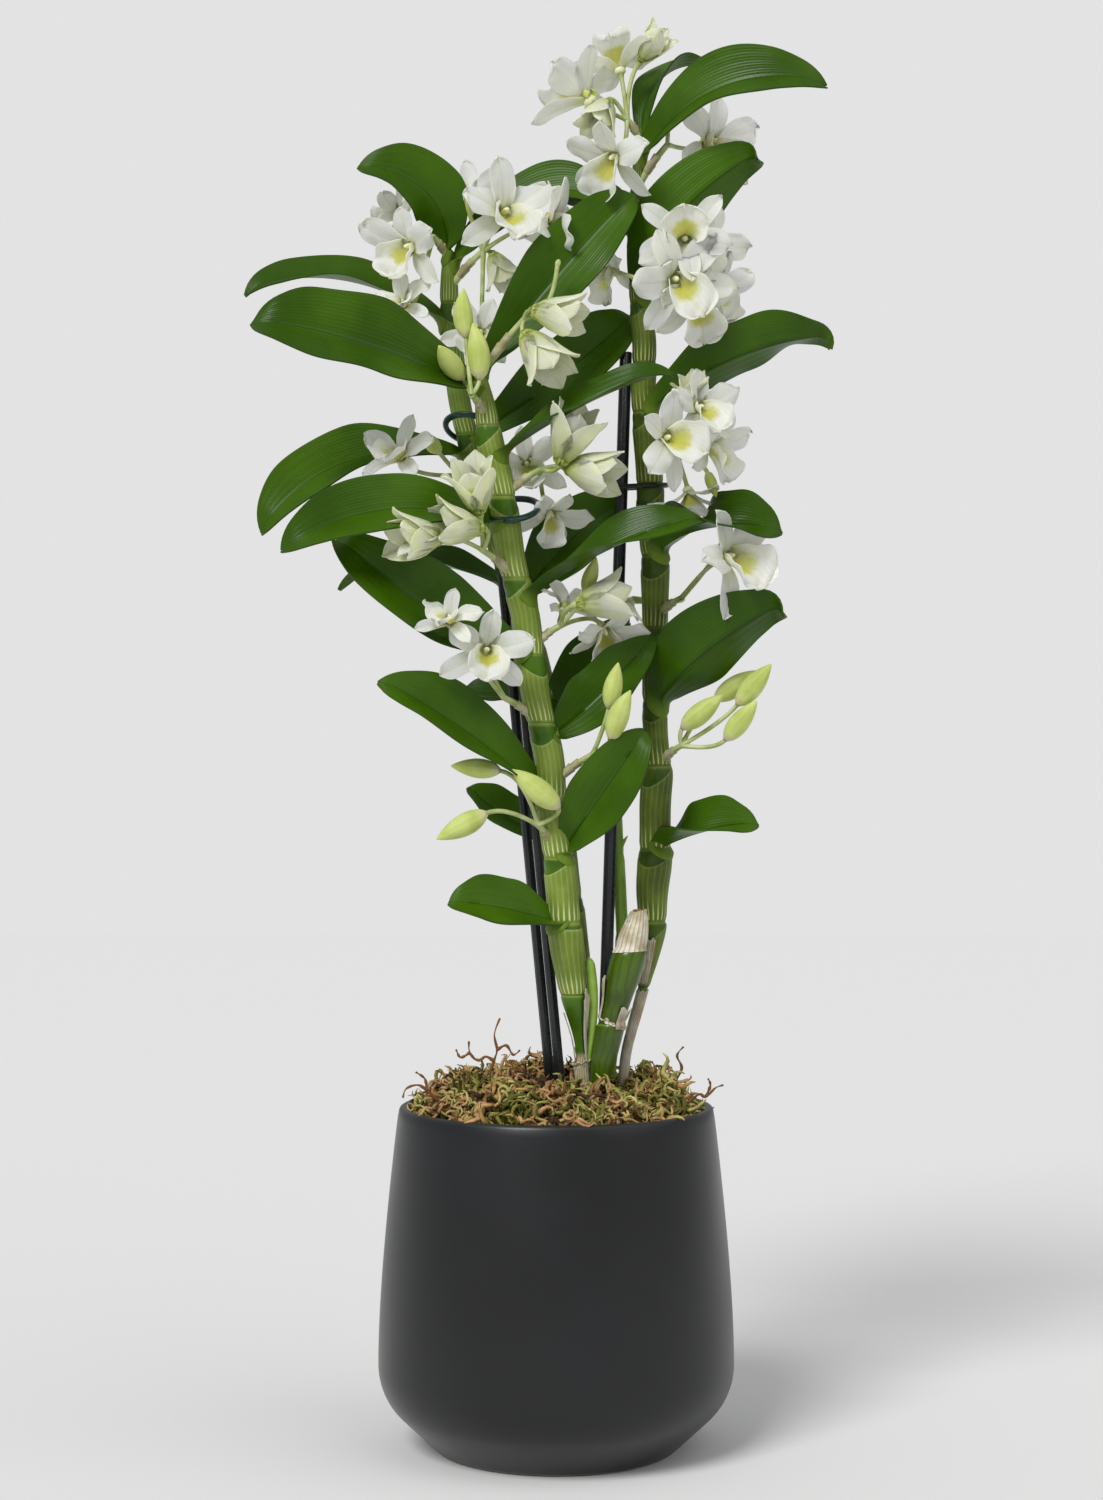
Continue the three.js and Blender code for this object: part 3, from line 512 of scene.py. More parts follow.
def rolled(name, around, along, shape):
    """A tube: a blank rolled round by shape(turn, t), with its seam welded and both ends closed."""
    tube = moulded(name, around, along, lambda s, t: shape(math.pi * (1 + s), t))
    bpy.ops.object.mode_set(mode="EDIT")
    bpy.ops.mesh.select_all(action="SELECT")
    bpy.ops.mesh.remove_doubles(threshold=0.002 * MM)
    bpy.ops.mesh.fill_holes(sides=0)
    bpy.ops.mesh.select_all(action="SELECT")
    bpy.ops.mesh.normals_make_consistent(inside=False)
    bpy.ops.object.mode_set(mode="OBJECT")
    return tube


def attribute(piece, name, value_of):
    """A number on every vertex, worked out from its place in millimetres."""
    layer = piece.data.attributes.new(name, "FLOAT", "POINT")
    layer.data.foreach_set("value", [value_of(vertex.co / MM) for vertex in piece.data.vertices])


def stretch_of(cane, height):
    """The joint below a height and the joint above it."""
    joints = cane["joints"]
    k = next((k for k in range(1, len(joints)) if joints[k] > height), len(joints) - 1)
    return k, joints[k - 1], joints[k]


def mouth_turns(cane_name):
    """Where the V of each stretch's sheath lies: towards the front, on the side away from its leaf."""
    cane = CANES[cane_name]
    turns = {k: math.radians(BARE_MOUTHS[k % 2]) for k in range(1, len(cane["joints"]))}
    for height, mid, *_ in LEAVES.get(cane_name, []):
        leafward = mid[0] - cane_at(cane, height)[0].x
        aside = LEAF_ASIDE[0] + LEAF_ASIDE[1] * math.sin(height)
        aside = aside if leafward < 0 else -aside
        turns[stretch_of(cane, height - LEAF_BELOW)[0]] = math.radians(-90 + aside)
    return turns


def mouth_rise(cane, turns, height, turn):
    """How far a point is below its sheath's mouth, in mm: negative on the bare stretch above it."""
    k, low, high = stretch_of(cane, height)
    from_point = abs((turn - turns[k] + math.pi) % (2 * math.pi) - math.pi) / math.pi
    usual = (MOUTH_SHAPE[0] + 0.05 * math.sin(3.7 * k + low), MOUTH_SHAPE[1])
    depth, rise = cane.get("low_sheaths", {}).get(k, usual)
    return low + (high - low) * (depth + rise * smooth(from_point, -0.02, 0.95)) - height


def skin_radius(cane, height):
    """The radius of a cane's bare skin: widest high in each stretch, and pinched at the joints."""
    _, radius = cane_at(cane, height)
    _, low, high = stretch_of(cane, height)
    swell = SWELL[1] * smooth((height - low) / (high - low), 0, 0.85) - SWELL[0]
    gaps = (height - low, high - height)
    pinch = sum(depth * math.exp(-(gap / reach) ** 2) for gap, (depth, reach) in zip(gaps, PINCHES))
    return radius * (1 + swell - pinch)


def cane_tube(cane_name, sheathed):
    """One cane: rings from foot to tip, ribbed where a sheath covers it and pinched at each joint."""
    cane = CANES[cane_name]
    foot, tip = cane["joints"][0], cane["joints"][-1]
    turns = mouth_turns(cane_name)

    def skin(turn, t):
        height = foot + (tip - foot) * t
        centre, _ = cane_at(cane, height)
        above = height - stretch_of(cane, height)[1]
        cover = 0.0
        if sheathed:
            rib = 0.5 + 0.5 * math.cos(RIBS * turn)
            cover = smooth(mouth_rise(cane, turns, height, turn), -0.4, 0.6) * (
                SHEATH_THICKNESS + RIB_HEIGHT * rib * math.exp(-above / RIB_RUN) + FAINT_RIB * rib
            ) - SHEATH_THICKNESS
        closing = 1 - 0.9 * smooth(height, tip - CANE_TIP_ROUND, tip)
        reach = (skin_radius(cane, height) + cover) * closing
        return centre + Vector((math.cos(turn), math.sin(turn), 0)) * reach

    rings = round((tip - foot) / CANE_RING_STEP)
    tube = rolled(cane["node"] + "_grown", CANE_AROUND, rings, skin)

    def turn_at(place):
        centre, _ = cane_at(cane, place.z)
        return math.atan2(place.y - centre.y, place.x - centre.x)

    attribute(tube, "mouth", lambda place: mouth_rise(cane, turns, place.z, turn_at(place)))
    dry_up_to = cane.get("dry_up_to", 0)
    attribute(tube, "dry", lambda place: 1 - smooth(place.z, dry_up_to - 2, dry_up_to + 1))
    attribute(tube, "above", lambda place: place.z - stretch_of(cane, place.z)[1])
    attribute(tube, "below", lambda place: stretch_of(cane, place.z)[2] - place.z)
    smoothed(tube)
    return tube


def measured(tree, name):
    """A number that the piece carries on its own vertices."""
    return node(tree, "Attribute", attribute_name=name).outputs["Fac"]


def laid_flat(tree):
    """Across the piece's own flat layout as X, and along it as Y."""
    return node(tree, "SeparateXYZ", {0: node(tree, "UVMap").outputs["UV"]}).outputs


# Sheath: where the sheath lies, its thin pale lip at the mouth, and its ribs, which end in white
# points at the joint
sheath, given, result = new_group("sheath", {"Ribs": float(RIBS)}, ["Cover", "Lip", "Rib", "Points", "Below"])
mouth, above, below = [measured(sheath, name) for name in ("mouth", "above", "below")]
around = laid_flat(sheath)["X"]
wander = node(sheath, "TexNoise", {"Vector": node(sheath, "TexCoord").outputs["Object"], "Scale": 45.0})
around = calc(sheath, "ADD", around, calc(sheath, "MULTIPLY", wander.outputs["Fac"], 0.05))
turns_round = calc(sheath, "MULTIPLY", calc(sheath, "MULTIPLY", around, given["Ribs"]), 2 * math.pi)
wave = calc(sheath, "MULTIPLY_ADD", calc(sheath, "COSINE", turns_round), 0.5, 0.5)
rib = between(sheath, wave, 0.62, 0.98)
cover = between(sheath, mouth, -0.15, 0.15)
lip = calc(sheath, "MULTIPLY", cover, between(sheath, mouth, 1.0, 0.2))
low_part = between(sheath, above, 11.0, 0.8)
points = calc(sheath, "MULTIPLY", calc(sheath, "MULTIPLY", rib, low_part), cover)
for socket, source in {"Cover": cover, "Lip": lip, "Rib": rib, "Points": points, "Below": below}.items():
    sheath.links.new(source, result[socket])


def tones(*codes):
    """The colours that a surface drifts between."""
    return tuple(shade(code) for code in codes)


def cane_finish(name, bare_colours, sheath_colours, rib_colour, roughness):
    """Glossy bare cane with a duller ribbed sheath over it."""
    material = finish(name, bare_colours[0], roughness, Subsurface_Weight=0.12, Subsurface_Scale=0.002,
                      Specular_IOR_Level=0.35)
    tree = material.node_tree
    grown = use_group(tree, mottle, Broad=70.0, Fine=500.0)
    wrap = use_group(tree, sheath, Ribs=float(RIBS))
    dry = measured(tree, "dry")
    bare = mixed(tree, grown["Patches"], *bare_colours)
    bare = mixed(tree, between(tree, wrap["Below"], 2.2, 0.6), bare, sheath_colours[1])
    cover = mixed(tree, grown["Patches"], *sheath_colours)
    cover = mixed(tree, calc(tree, "MULTIPLY", wrap["Rib"], 0.12), cover, rib_colour)
    cover = mixed(tree, wrap["Points"], cover, rib_colour)
    cover = mixed(tree, calc(tree, "MULTIPLY", wrap["Lip"], 0.2), cover, rib_colour)
    colour = mixed(tree, wrap["Cover"], bare, cover)
    straw = mixed(tree, wrap["Rib"], shade("8f7c58"), shade("d9d0b4"))
    colour = mixed(tree, dry, colour, straw)
    dull = calc(tree, "MULTIPLY_ADD", wrap["Cover"], 0.2, roughness)
    height = calc(tree, "MULTIPLY", wrap["Cover"], wrap["Rib"])
    height = calc(tree, "ADD", height, calc(tree, "MULTIPLY", grown["Grain"], 0.5))
    feed(material, Base_Color=colour, Roughness=dull, Normal=relief(tree, height, 0.12, 0.6))
    return material


CANE_COLOURS = {  # two tones of the bare cane, two of its sheath, the ribs' points, and the roughness
    "front": (("345602", "4a7208"), ("6a8024", "84983c"), "d6dda0", 0.28),
    "back": (("2c4a02", "406408"), ("566e1a", "6e862c"), "bec884", 0.3),
    "right": (("2e4402", "466006"), ("44560e", "667820"), "b8c278", 0.3),
}
grown_canes = {}
for cane_name, (bare, cover, points, roughness) in CANE_COLOURS.items():
    skin = cane_finish(f"cane_{cane_name}_skin", tones(*bare), tones(*cover), shade(points), roughness)
    grown_canes[cane_name] = cane_tube(cane_name, sheathed=True)
    grown_canes[cane_name].data.materials.append(skin)

# --- Old cane, young shoot, rhizome and side bud ---
# The old cane has dropped its leaves and is glossy green. A thin bright shoot stands behind it, a
# bud sits at the front cane's foot, and the creeping rhizome joins them all under the moss.
RHIZOME = [(10, -15, 147), (21, 0, 149), (36, 10, 147)]
SIDE_BUD = [(13.5, -13, 168), (16.4, -14, 196), (14.2, -14.5, 221)]
SHOOT_BRACT = [(27.5, 14, 262), (29.0, 13.5, 268), (32.5, 12.5, 274)]
STALK_SIDE = Vector((0.31, -0.87, 0.38))  # where the rings of a stalk start, never along a stalk
OLD_CANE_STREAKS = 69.0


def bent(points):
    """The place along a line bent through three points."""
    first, middle, last = [Vector(point) for point in points]
    control = middle * 2 - (first + last) / 2
    return lambda t: first * (1 - t) ** 2 + control * 2 * t * (1 - t) + last * t * t


def round_stalk(name, centre_at, radius_at, around, along):
    """A stalk whose rings stand square to its centre line."""
    step = 0.01

    def skin(turn, t):
        heading = (centre_at(min(t + step, 1)) - centre_at(max(t - step, 0))).normalized()
        side = (STALK_SIDE - heading * heading.dot(STALK_SIDE)).normalized()
        other = heading.cross(side)
        return centre_at(t) + (side * math.cos(turn) + other * math.sin(turn)) * radius_at(t, turn)

    return rolled(name, around, along, skin)


def joined(name, pieces):
    """Pieces joined to one."""
    deselect()
    for piece in pieces:
        piece.select_set(True)
    bpy.context.view_layer.objects.active = pieces[0]
    bpy.ops.object.join()
    pieces[0].name = name
    return pieces[0]


old_green = finish("old_cane_skin", shade("4a6e0a"), 0.24, Subsurface_Weight=0.1, Subsurface_Scale=0.002)
tree = old_green.node_tree
grown = use_group(tree, mottle, Broad=45.0, Fine=600.0)
ring = measured(tree, "below")
skin_colour = mixed(tree, grown["Patches"], shade("314800"), shade("4a6602"))
wander = calc(tree, "MULTIPLY", grown["Patches"], 5.0)
streaks = calc(tree, "MULTIPLY_ADD", laid_flat(tree)["X"], OLD_CANE_STREAKS, wander)
streaks = calc(tree, "SINE", streaks)
skin_colour = mixed(tree, between(tree, streaks, 0.1, 1.0, 0.0, 0.45), skin_colour, shade("2c3e02"))
feed(old_green, Base_Color=mixed(tree, between(tree, ring, 2.0, 0.5), skin_colour, shade("6f8a24")),
     Normal=relief(tree, grown["Grain"], 0.1, 0.5))
old_cane = cane_tube("old", sheathed=False)
old_cane.data.materials.append(old_green)


def two_toned(name, plain, pair, roughness, scales, relief_of, **sockets):
    """A finish that drifts between two tones in broad patches, with a fine grain in relief."""
    material = finish(name, shade(plain), roughness, **sockets)
    tree = material.node_tree
    grown = use_group(tree, mottle, Broad=scales[0], Fine=scales[1])
    feed(material, Base_Color=mixed(tree, grown["Patches"], *tones(*pair)),
         Normal=relief(tree, grown["Grain"], *relief_of))
    return material


def shoot_bract_radius(t, turn):
    return 0.2 + 1.9 * (1 - t) ** 0.7 * min(1, 0.5 + 4 * t)


def side_bud_radius(t, turn):
    return 0.1 + (0.9 + 1.4 * smooth(t, 0, 0.75)) * min(1, (1 - t) / 0.07) ** 0.5


def rhizome_radius(t, turn):
    return 4.6 + 0.4 * math.sin(28 * t)


young_green = two_toned("young_shoot_skin", "8fb84a", ("7a9e30", "98bb50"), 0.35, (60.0, 500.0), (0.08, 0.5),
                        Subsurface_Weight=0.2, Subsurface_Scale=0.002)
young = cane_tube("young", sheathed=False)
bract = round_stalk("shoot_bract", bent(SHOOT_BRACT), shoot_bract_radius, 12, 10)
side_bud = round_stalk("side_bud", bent(SIDE_BUD), side_bud_radius, 16, 40)
rhizome = round_stalk("rhizome", bent(RHIZOME), rhizome_radius, 20, 40)
rhizome.data.materials.append(old_green)
for piece in (young, bract, side_bud):
    piece.data.materials.append(young_green)

# --- Dry sheaths ---
# The papery remains of old sheaths, straw to white and ribbed: a cap over the old cane's top, torn
# rings and flaps round its joint, and wraps round the canes' feet.

# Each row: the cane, the lowest and highest edge, the middle and half turn in degrees, the stand-off,
# the flare, how ragged the edge is, and its lean
DRY_SHEATHS = [
    ("old", (223.5, 241.5), (-90, 175), 0.25, -0.5, 0.8, 0.5),
    ("old", (191, 192.3), (-100, 165), 0.3, 0.7, 2.0, -2.6),
    ("old", (190, 199), (-48, 24), 0.45, 1.0, 3.5, -1.0),
    ("old", (195, 211), (178, 30), 0.4, 1.0, 3.5, 0.0),
    ("right", (155, 204.5), (-60, 165), 0.1, 0.0, 1.2, 0.0),
    ("right", (207.5, 228), (-150, 75), 0.25, 0.3, 5.0, 0.0),
    ("front", (155, 172.5), (-90, 165), 0.2, 0.2, 1.0, 0.0),
    ("front", (172, 174.5), (-80, 150), 0.5, 1.6, 1.2, 1.2),
    ("front", (173, 205), (-12, 38), 0.5, 0.5, 5.0, 0.0),
    ("front", (174, 196), (-172, 16), 0.3, 0.2, 4.0, 0.0),
    ("back", (155, 178), (-90, 150), 0.4, 0.5, 2.0, 0.0),
]
CAP_SCAR = [(36.6, -14, 238.5), (36.9, -14, 240.5), (37.1, -14, 242.2)]
DRY_THICKNESS = 0.22

papery = finish("papery_sheath", shade("d9d3bf"), 0.5, Specular_IOR_Level=0.3)
tree = papery.node_tree
dried = use_group(tree, mottle, Broad=150.0, Fine=900.0)
fibres = calc(tree, "SINE", calc(tree, "MULTIPLY", laid_flat(tree)["X"], 120.0))
colour = mixed(tree, dried["Patches"], shade("b5a888"), shade("e4dfce"))
colour = mixed(tree, between(tree, fibres, 0.3, 1.0, 0.0, 0.55), colour, shade("84704e"))
feed(papery, Base_Color=colour, Normal=relief(tree, fibres, 0.15, 0.6))

scar_brown = two_toned("scar_brown", "6d5334", ("5a4226", "9c8a66"), 0.8, (300.0, 1200.0), (0.3,))


def dry_sheath(row, luck):
    """One scrap of old sheath, curved round its cane, torn along its upper edge and creased."""
    cane_name, (low, high), (middle, half), stand_off, flare, ragged, lean = row
    cane = CANES[cane_name]
    torn = Vector((luck.uniform(0, 50), 0, 0))

    def blade(s, t):
        turn = math.radians(middle + half * s)
        tear = ragged * noise.noise(torn + Vector((turn * 2.5, 0, 0)))
        torn_edge = tear * (smooth(t, 0.5, 1) - 0.4 * smooth(t, 0.5, 0))
        height = low + (high - low) * t + torn_edge + lean * math.cos(turn)
        centre, _ = cane_at(cane, height)
        crease = abs(noise.noise(torn + Vector((turn * 2, height / 5, 3))))
        wrinkle = 0.1 * math.cos(RIBS * turn) + 0.3 * crease
        reach = skin_radius(cane, height) + stand_off + wrinkle + flare * (smooth(t, 0.4, 1) + 0.4 * s * s)
        return centre + Vector((math.cos(turn), math.sin(turn), 0)) * reach

    sheet = moulded("dry_sheath", 36, 14, blade)
    finished_with(sheet, "SOLIDIFY", thickness=DRY_THICKNESS * MM, offset=0)
    sheet.data.materials.append(papery)
    return sheet


def scar_radius(t, turn):
    return 2.9 * min(1, (1.02 - t) / 0.15) + 0.2 * math.sin(3 * turn)


luck = random.Random("dry sheaths")
remains = {cane_name: [] for cane_name in CANES}
for row in DRY_SHEATHS:
    remains[row[0]].append(dry_sheath(row, luck))
grown_canes["old"], grown_canes["young"] = old_cane, young
scar = round_stalk("cap_scar", bent(CAP_SCAR), scar_radius, 18, 10)
scar.data.materials.append(scar_brown)
remains["front"].append(side_bud)
remains["young"].append(bract)
remains["old"] += [scar, rhizome]
for cane_name, cane_piece in grown_canes.items():
    node_name = CANES[cane_name]["node"]
    whole = joined(node_name + "_grown", [cane_piece] + remains[cane_name])
    smoothed(whole, 60)
    hand_over(whole, "cane_skin", node_name)

# --- Clips and tie ---
# Two loops of green coated wire and one black strap tie, each passed round a cane and its stick.
LOOPS = {  # centre, half width and depth, rise per mm to the right and to the back, wire radius, slot
    "clip_front": ((-19.3, -15, 420), (11.4, 14.6), (0.1, 0.4), 1.4, "clip_wire"),
    "clip_back": ((-38.5, 10, 458.5), (11.6, 15.5), (-0.15, -0.3), 1.35, "clip_wire"),
    "tie_right": ((36.2, 6, 432), (13.8, 8.4), (0.05, 0.05), 1.2, "tie_strap"),
}
LOOP_GAUGE = 0.1  # wire radius of the plain ring that is bent to a loop, whose own radius is 1
TIE_END = [(22.6, 4, 431.5), (20.6, 1, 432.5), (20.2, -2.5, 434.5)]

coated_wire = finish("green_coated_wire", shade("0b3a2e"), 0.2, Specular_IOR_Level=0.6)
tie_black = finish("tie_black", shade("0d0f10"), 0.4)
for material in (coated_wire, tie_black):
    tree = material.node_tree
    drawn = use_group(tree, mottle, Broad=90.0, Fine=1600.0)
    feed(material, Roughness=calc(tree, "MULTIPLY_ADD", drawn["Patches"], 0.2, 0.2),
         Normal=relief(tree, drawn["Grain"], 0.05, 0.5))
for node_name, (centre, (wide, deep), (right_rise, back_rise), thick, slot) in LOOPS.items():
    deselect()
    bpy.ops.mesh.primitive_torus_add(
        major_segments=64, minor_segments=12, major_radius=1, minor_radius=LOOP_GAUGE)
    loop = bpy.context.object
    fuller = thick / LOOP_GAUGE
    for vertex in loop.data.vertices:
        turn = math.atan2(vertex.co.y, vertex.co.x)
        outwards = (math.hypot(vertex.co.x, vertex.co.y) - 1) * fuller
        x = math.cos(turn) * (wide + outwards)
        y = math.sin(turn) * (deep + outwards)
        z = vertex.co.z * fuller + x * right_rise + y * back_rise
        vertex.co = (Vector(centre) + Vector((x, y, z))) * MM
    pieces = [loop]
    if node_name == "tie_right":
        pieces.append(round_stalk("tie_end", bent(TIE_END), lambda t, turn: 1.15 - 0.4 * t, 10, 8))
    for piece in pieces:
        piece.data.materials.append(tie_black if slot == "tie_strap" else coated_wire)
    whole = joined(node_name + "_loop", pieces)
    smoothed(whole, 70)
    hand_over(whole, slot, node_name)

# --- Leaves ---
# Twenty-eight leathery blades, each folded a little along its midrib, clasping its cane at the
# base and ending in a blunt notched tip: satin deep green above, paler and duller below.
LEAF_THICKNESS = 0.75
LEAF_CHANNEL = 0.24
LEAF_ACROSS = 16
LEAF_ALONG = 48
CURL_FROM = 0.87  # where the tip starts to curl under, as a share of the length
LEAF_CURL = 0.75
CLASP_SHARE = 0.13  # the share of its length over which a blade leaves its cane
CLASP_TURN = 1.25  # how far round the cane a blade's edges reach, in radians
CLASP_FOOT = (4.5, 5.5)  # how far its foot dips below the leaf's base, and rises again to its edges
CLASP_CLIMB = 60
CLASP_STAND_OFF = 0.3
CLASP_SINK = 1.1  # how far the first rows sink into the sheath
LEAF_GROOVE = 0.45  # depth of the line over the midrib
LEAF_NOTCH = 1.6  # depth of the nick in the tip


def leaf_outline(t):
    """The share of its full width that a blade has at a share of its length."""
    base = 0.24 + 0.76 * smooth(t, -0.05, 0.46)
    tip = max(1 - max(0, (t - 0.5) / 0.5) ** 2.2, 0) ** 0.72
    return max(base * tip, 0.05)


def leaf_blade(name, cane, row, luck):
    """One leaf, bent from its base through its middle to its tip, with a thickness."""
    base_height, mid, tip, width, roll, *special = row
    curl, channel = special or (LEAF_CURL, LEAF_CHANNEL)
    base, _ = cane_at(cane, base_height)
    tip = Vector(tip)
    bend = Vector(mid) * 2 - (base + tip) / 2
    outwards = math.atan2(mid[1] - base.y, mid[0] - base.x)
    waves, phase = luck.uniform(1.5, 3), luck.uniform(0, 6)
    ruffle = luck.uniform(0.7, 1.6)

    def blade(s, t):
        flat = min(t, CURL_FROM)
        centre = base * (1 - flat) ** 2 + bend * 2 * flat * (1 - flat) + tip * flat * flat
        along = ((bend - base) * (1 - flat) + (tip - bend) * flat).normalized()
        turn = math.radians(roll[0] + (roll[1] - roll[0]) * smooth(flat, 0.1, 0.9))
        upper = Vector((0, -math.sin(turn), math.cos(turn)))
        upper = (upper - along * upper.dot(along)).normalized()
        across = along.cross(upper)
        if t > CURL_FROM:
            bow = (tip - centre).length / curl
            over = curl * (t - CURL_FROM) / (1 - CURL_FROM)
            cosine, sine = math.cos(over), math.sin(over)
            centre = centre + along * bow * sine - upper * bow * (1 - cosine)
            along, upper = along * cosine - upper * sine, upper * cosine + along * sine
        half = width / 2 * leaf_outline(t)
        fold = half * 2 * channel * abs(s) ** 1.1 * (1 - 0.6 * smooth(t, 0.75, 1))
        groove = -LEAF_GROOVE * math.exp(-(s / 0.06) ** 2) * smooth(t, 1, 0.8)
        wave = ruffle * abs(s) ** 2 * math.sin(2 * math.pi * waves * t + phase + (1.2 if s > 0 else 0))
        notch = -LEAF_NOTCH * smooth(t, 0.97, 1) * math.exp(-((s - 0.15) / 0.3) ** 2)
        place = centre + across * (s * half) + upper * (fold + groove + wave * smooth(t, 0.1, 0.5))
        place += along * notch
        clasp = smooth(t, CLASP_SHARE, 0)
        if clasp > 0:
            side = outwards - s * CLASP_TURN
            level = base.z - CLASP_FOOT[0] + CLASP_FOOT[1] * s * s + CLASP_CLIMB * t * (1 - 0.4 * abs(s))
            reach = skin_radius(cane, min(level, cane["joints"][-1])) + SHEATH_THICKNESS + CLASP_STAND_OFF
            reach -= CLASP_SINK * smooth(t, 0.03, 0)
            on_cane = base + Vector((math.cos(side), math.sin(side), 0)) * reach
            on_cane.z = level
            place = place.lerp(on_cane, clasp)
        return place

    leaf = moulded(name, LEAF_ACROSS, LEAF_ALONG, blade)
    finished_with(leaf, "SOLIDIFY", thickness=LEAF_THICKNESS * MM, offset=-1, material_offset=1,
                  material_offset_rim=1)
    smoothed(leaf, 70)
    return leaf


def blade_finish(name, colours, midrib_colour, roughness, vein_depth, midrib_share, **sockets):
    """Leaf skin: drifting green with fine veins, a midrib, a darker edge and a paler foot."""
    material = finish(name, colours[0], roughness, **sockets)
    tree = material.node_tree
    grown = use_group(tree, mottle, Broad=22.0, Fine=500.0)
    place = laid_flat(tree)
    from_rib = calc(tree, "ABSOLUTE", calc(tree, "SUBTRACT", place["X"], 0.5))
    midrib = between(tree, from_rib, 0.022, 0.004)
    veins = calc(tree, "SINE", calc(tree, "MULTIPLY", place["X"], 150.0))
    edge = between(tree, from_rib, 0.485, 0.5)
    colour = mixed(tree, grown["Patches"], colours[0], colours[1])
    colour = mixed(tree, calc(tree, "MULTIPLY_ADD", veins, 0.06, 0.06), colour, colours[2])
    colour = mixed(tree, calc(tree, "MULTIPLY", midrib, midrib_share), colour, midrib_colour)
    colour = mixed(tree, calc(tree, "MULTIPLY", edge, 0.5), colour, shade("2a3f14"))
    colour = mixed(tree, between(tree, place["Y"], 0.12, 0.01), colour, shade("667f22"))
    ridges = calc(tree, "SINE", calc(tree, "MULTIPLY", place["X"], 47.0))
    height = calc(tree, "MULTIPLY_ADD", veins, 0.35, calc(tree, "MULTIPLY", grown["Grain"], 0.6))
    height = calc(tree, "MULTIPLY_ADD", ridges, 0.4, height)
    feed(material, Base_Color=colour, Normal=relief(tree, height, vein_depth, 0.45),
         Roughness=calc(tree, "MULTIPLY_ADD", grown["Patches"], 0.1, roughness))
    return material


leaf_upper = blade_finish("leaf_upper", tones("2b4a00", "3f6400", "527808"), shade("1f3e00"), 0.29, 0.15, 0.7,
                          Specular_IOR_Level=0.2)
leaf_under = blade_finish("leaf_under", tones("587e1c", "769a38", "8eac54"), shade("9ab468"), 0.4, 0.1, 0.6,
                          Specular_IOR_Level=0.22)
for cane_name, rows in LEAVES.items():
    for k, row in enumerate(rows, 1):
        node_name = f"leaf_{cane_name}_{k:02d}"
        leaf = leaf_blade(node_name + "_blade", CANES[cane_name], row, random.Random(node_name))
        leaf.data.materials.append(leaf_upper)
        leaf.data.materials.append(leaf_under)
        hand_over(leaf, "leaf_blade", node_name)

# --- Flower sprays ---
# Seventeen short sprays from the joints. Each flower has three sepals, two broad petals and a
# lip rolled round the column, with a yellow-green blotch in its throat; the young ones hang as
# half-closed cream bells, and the lowest are still slim green buds.

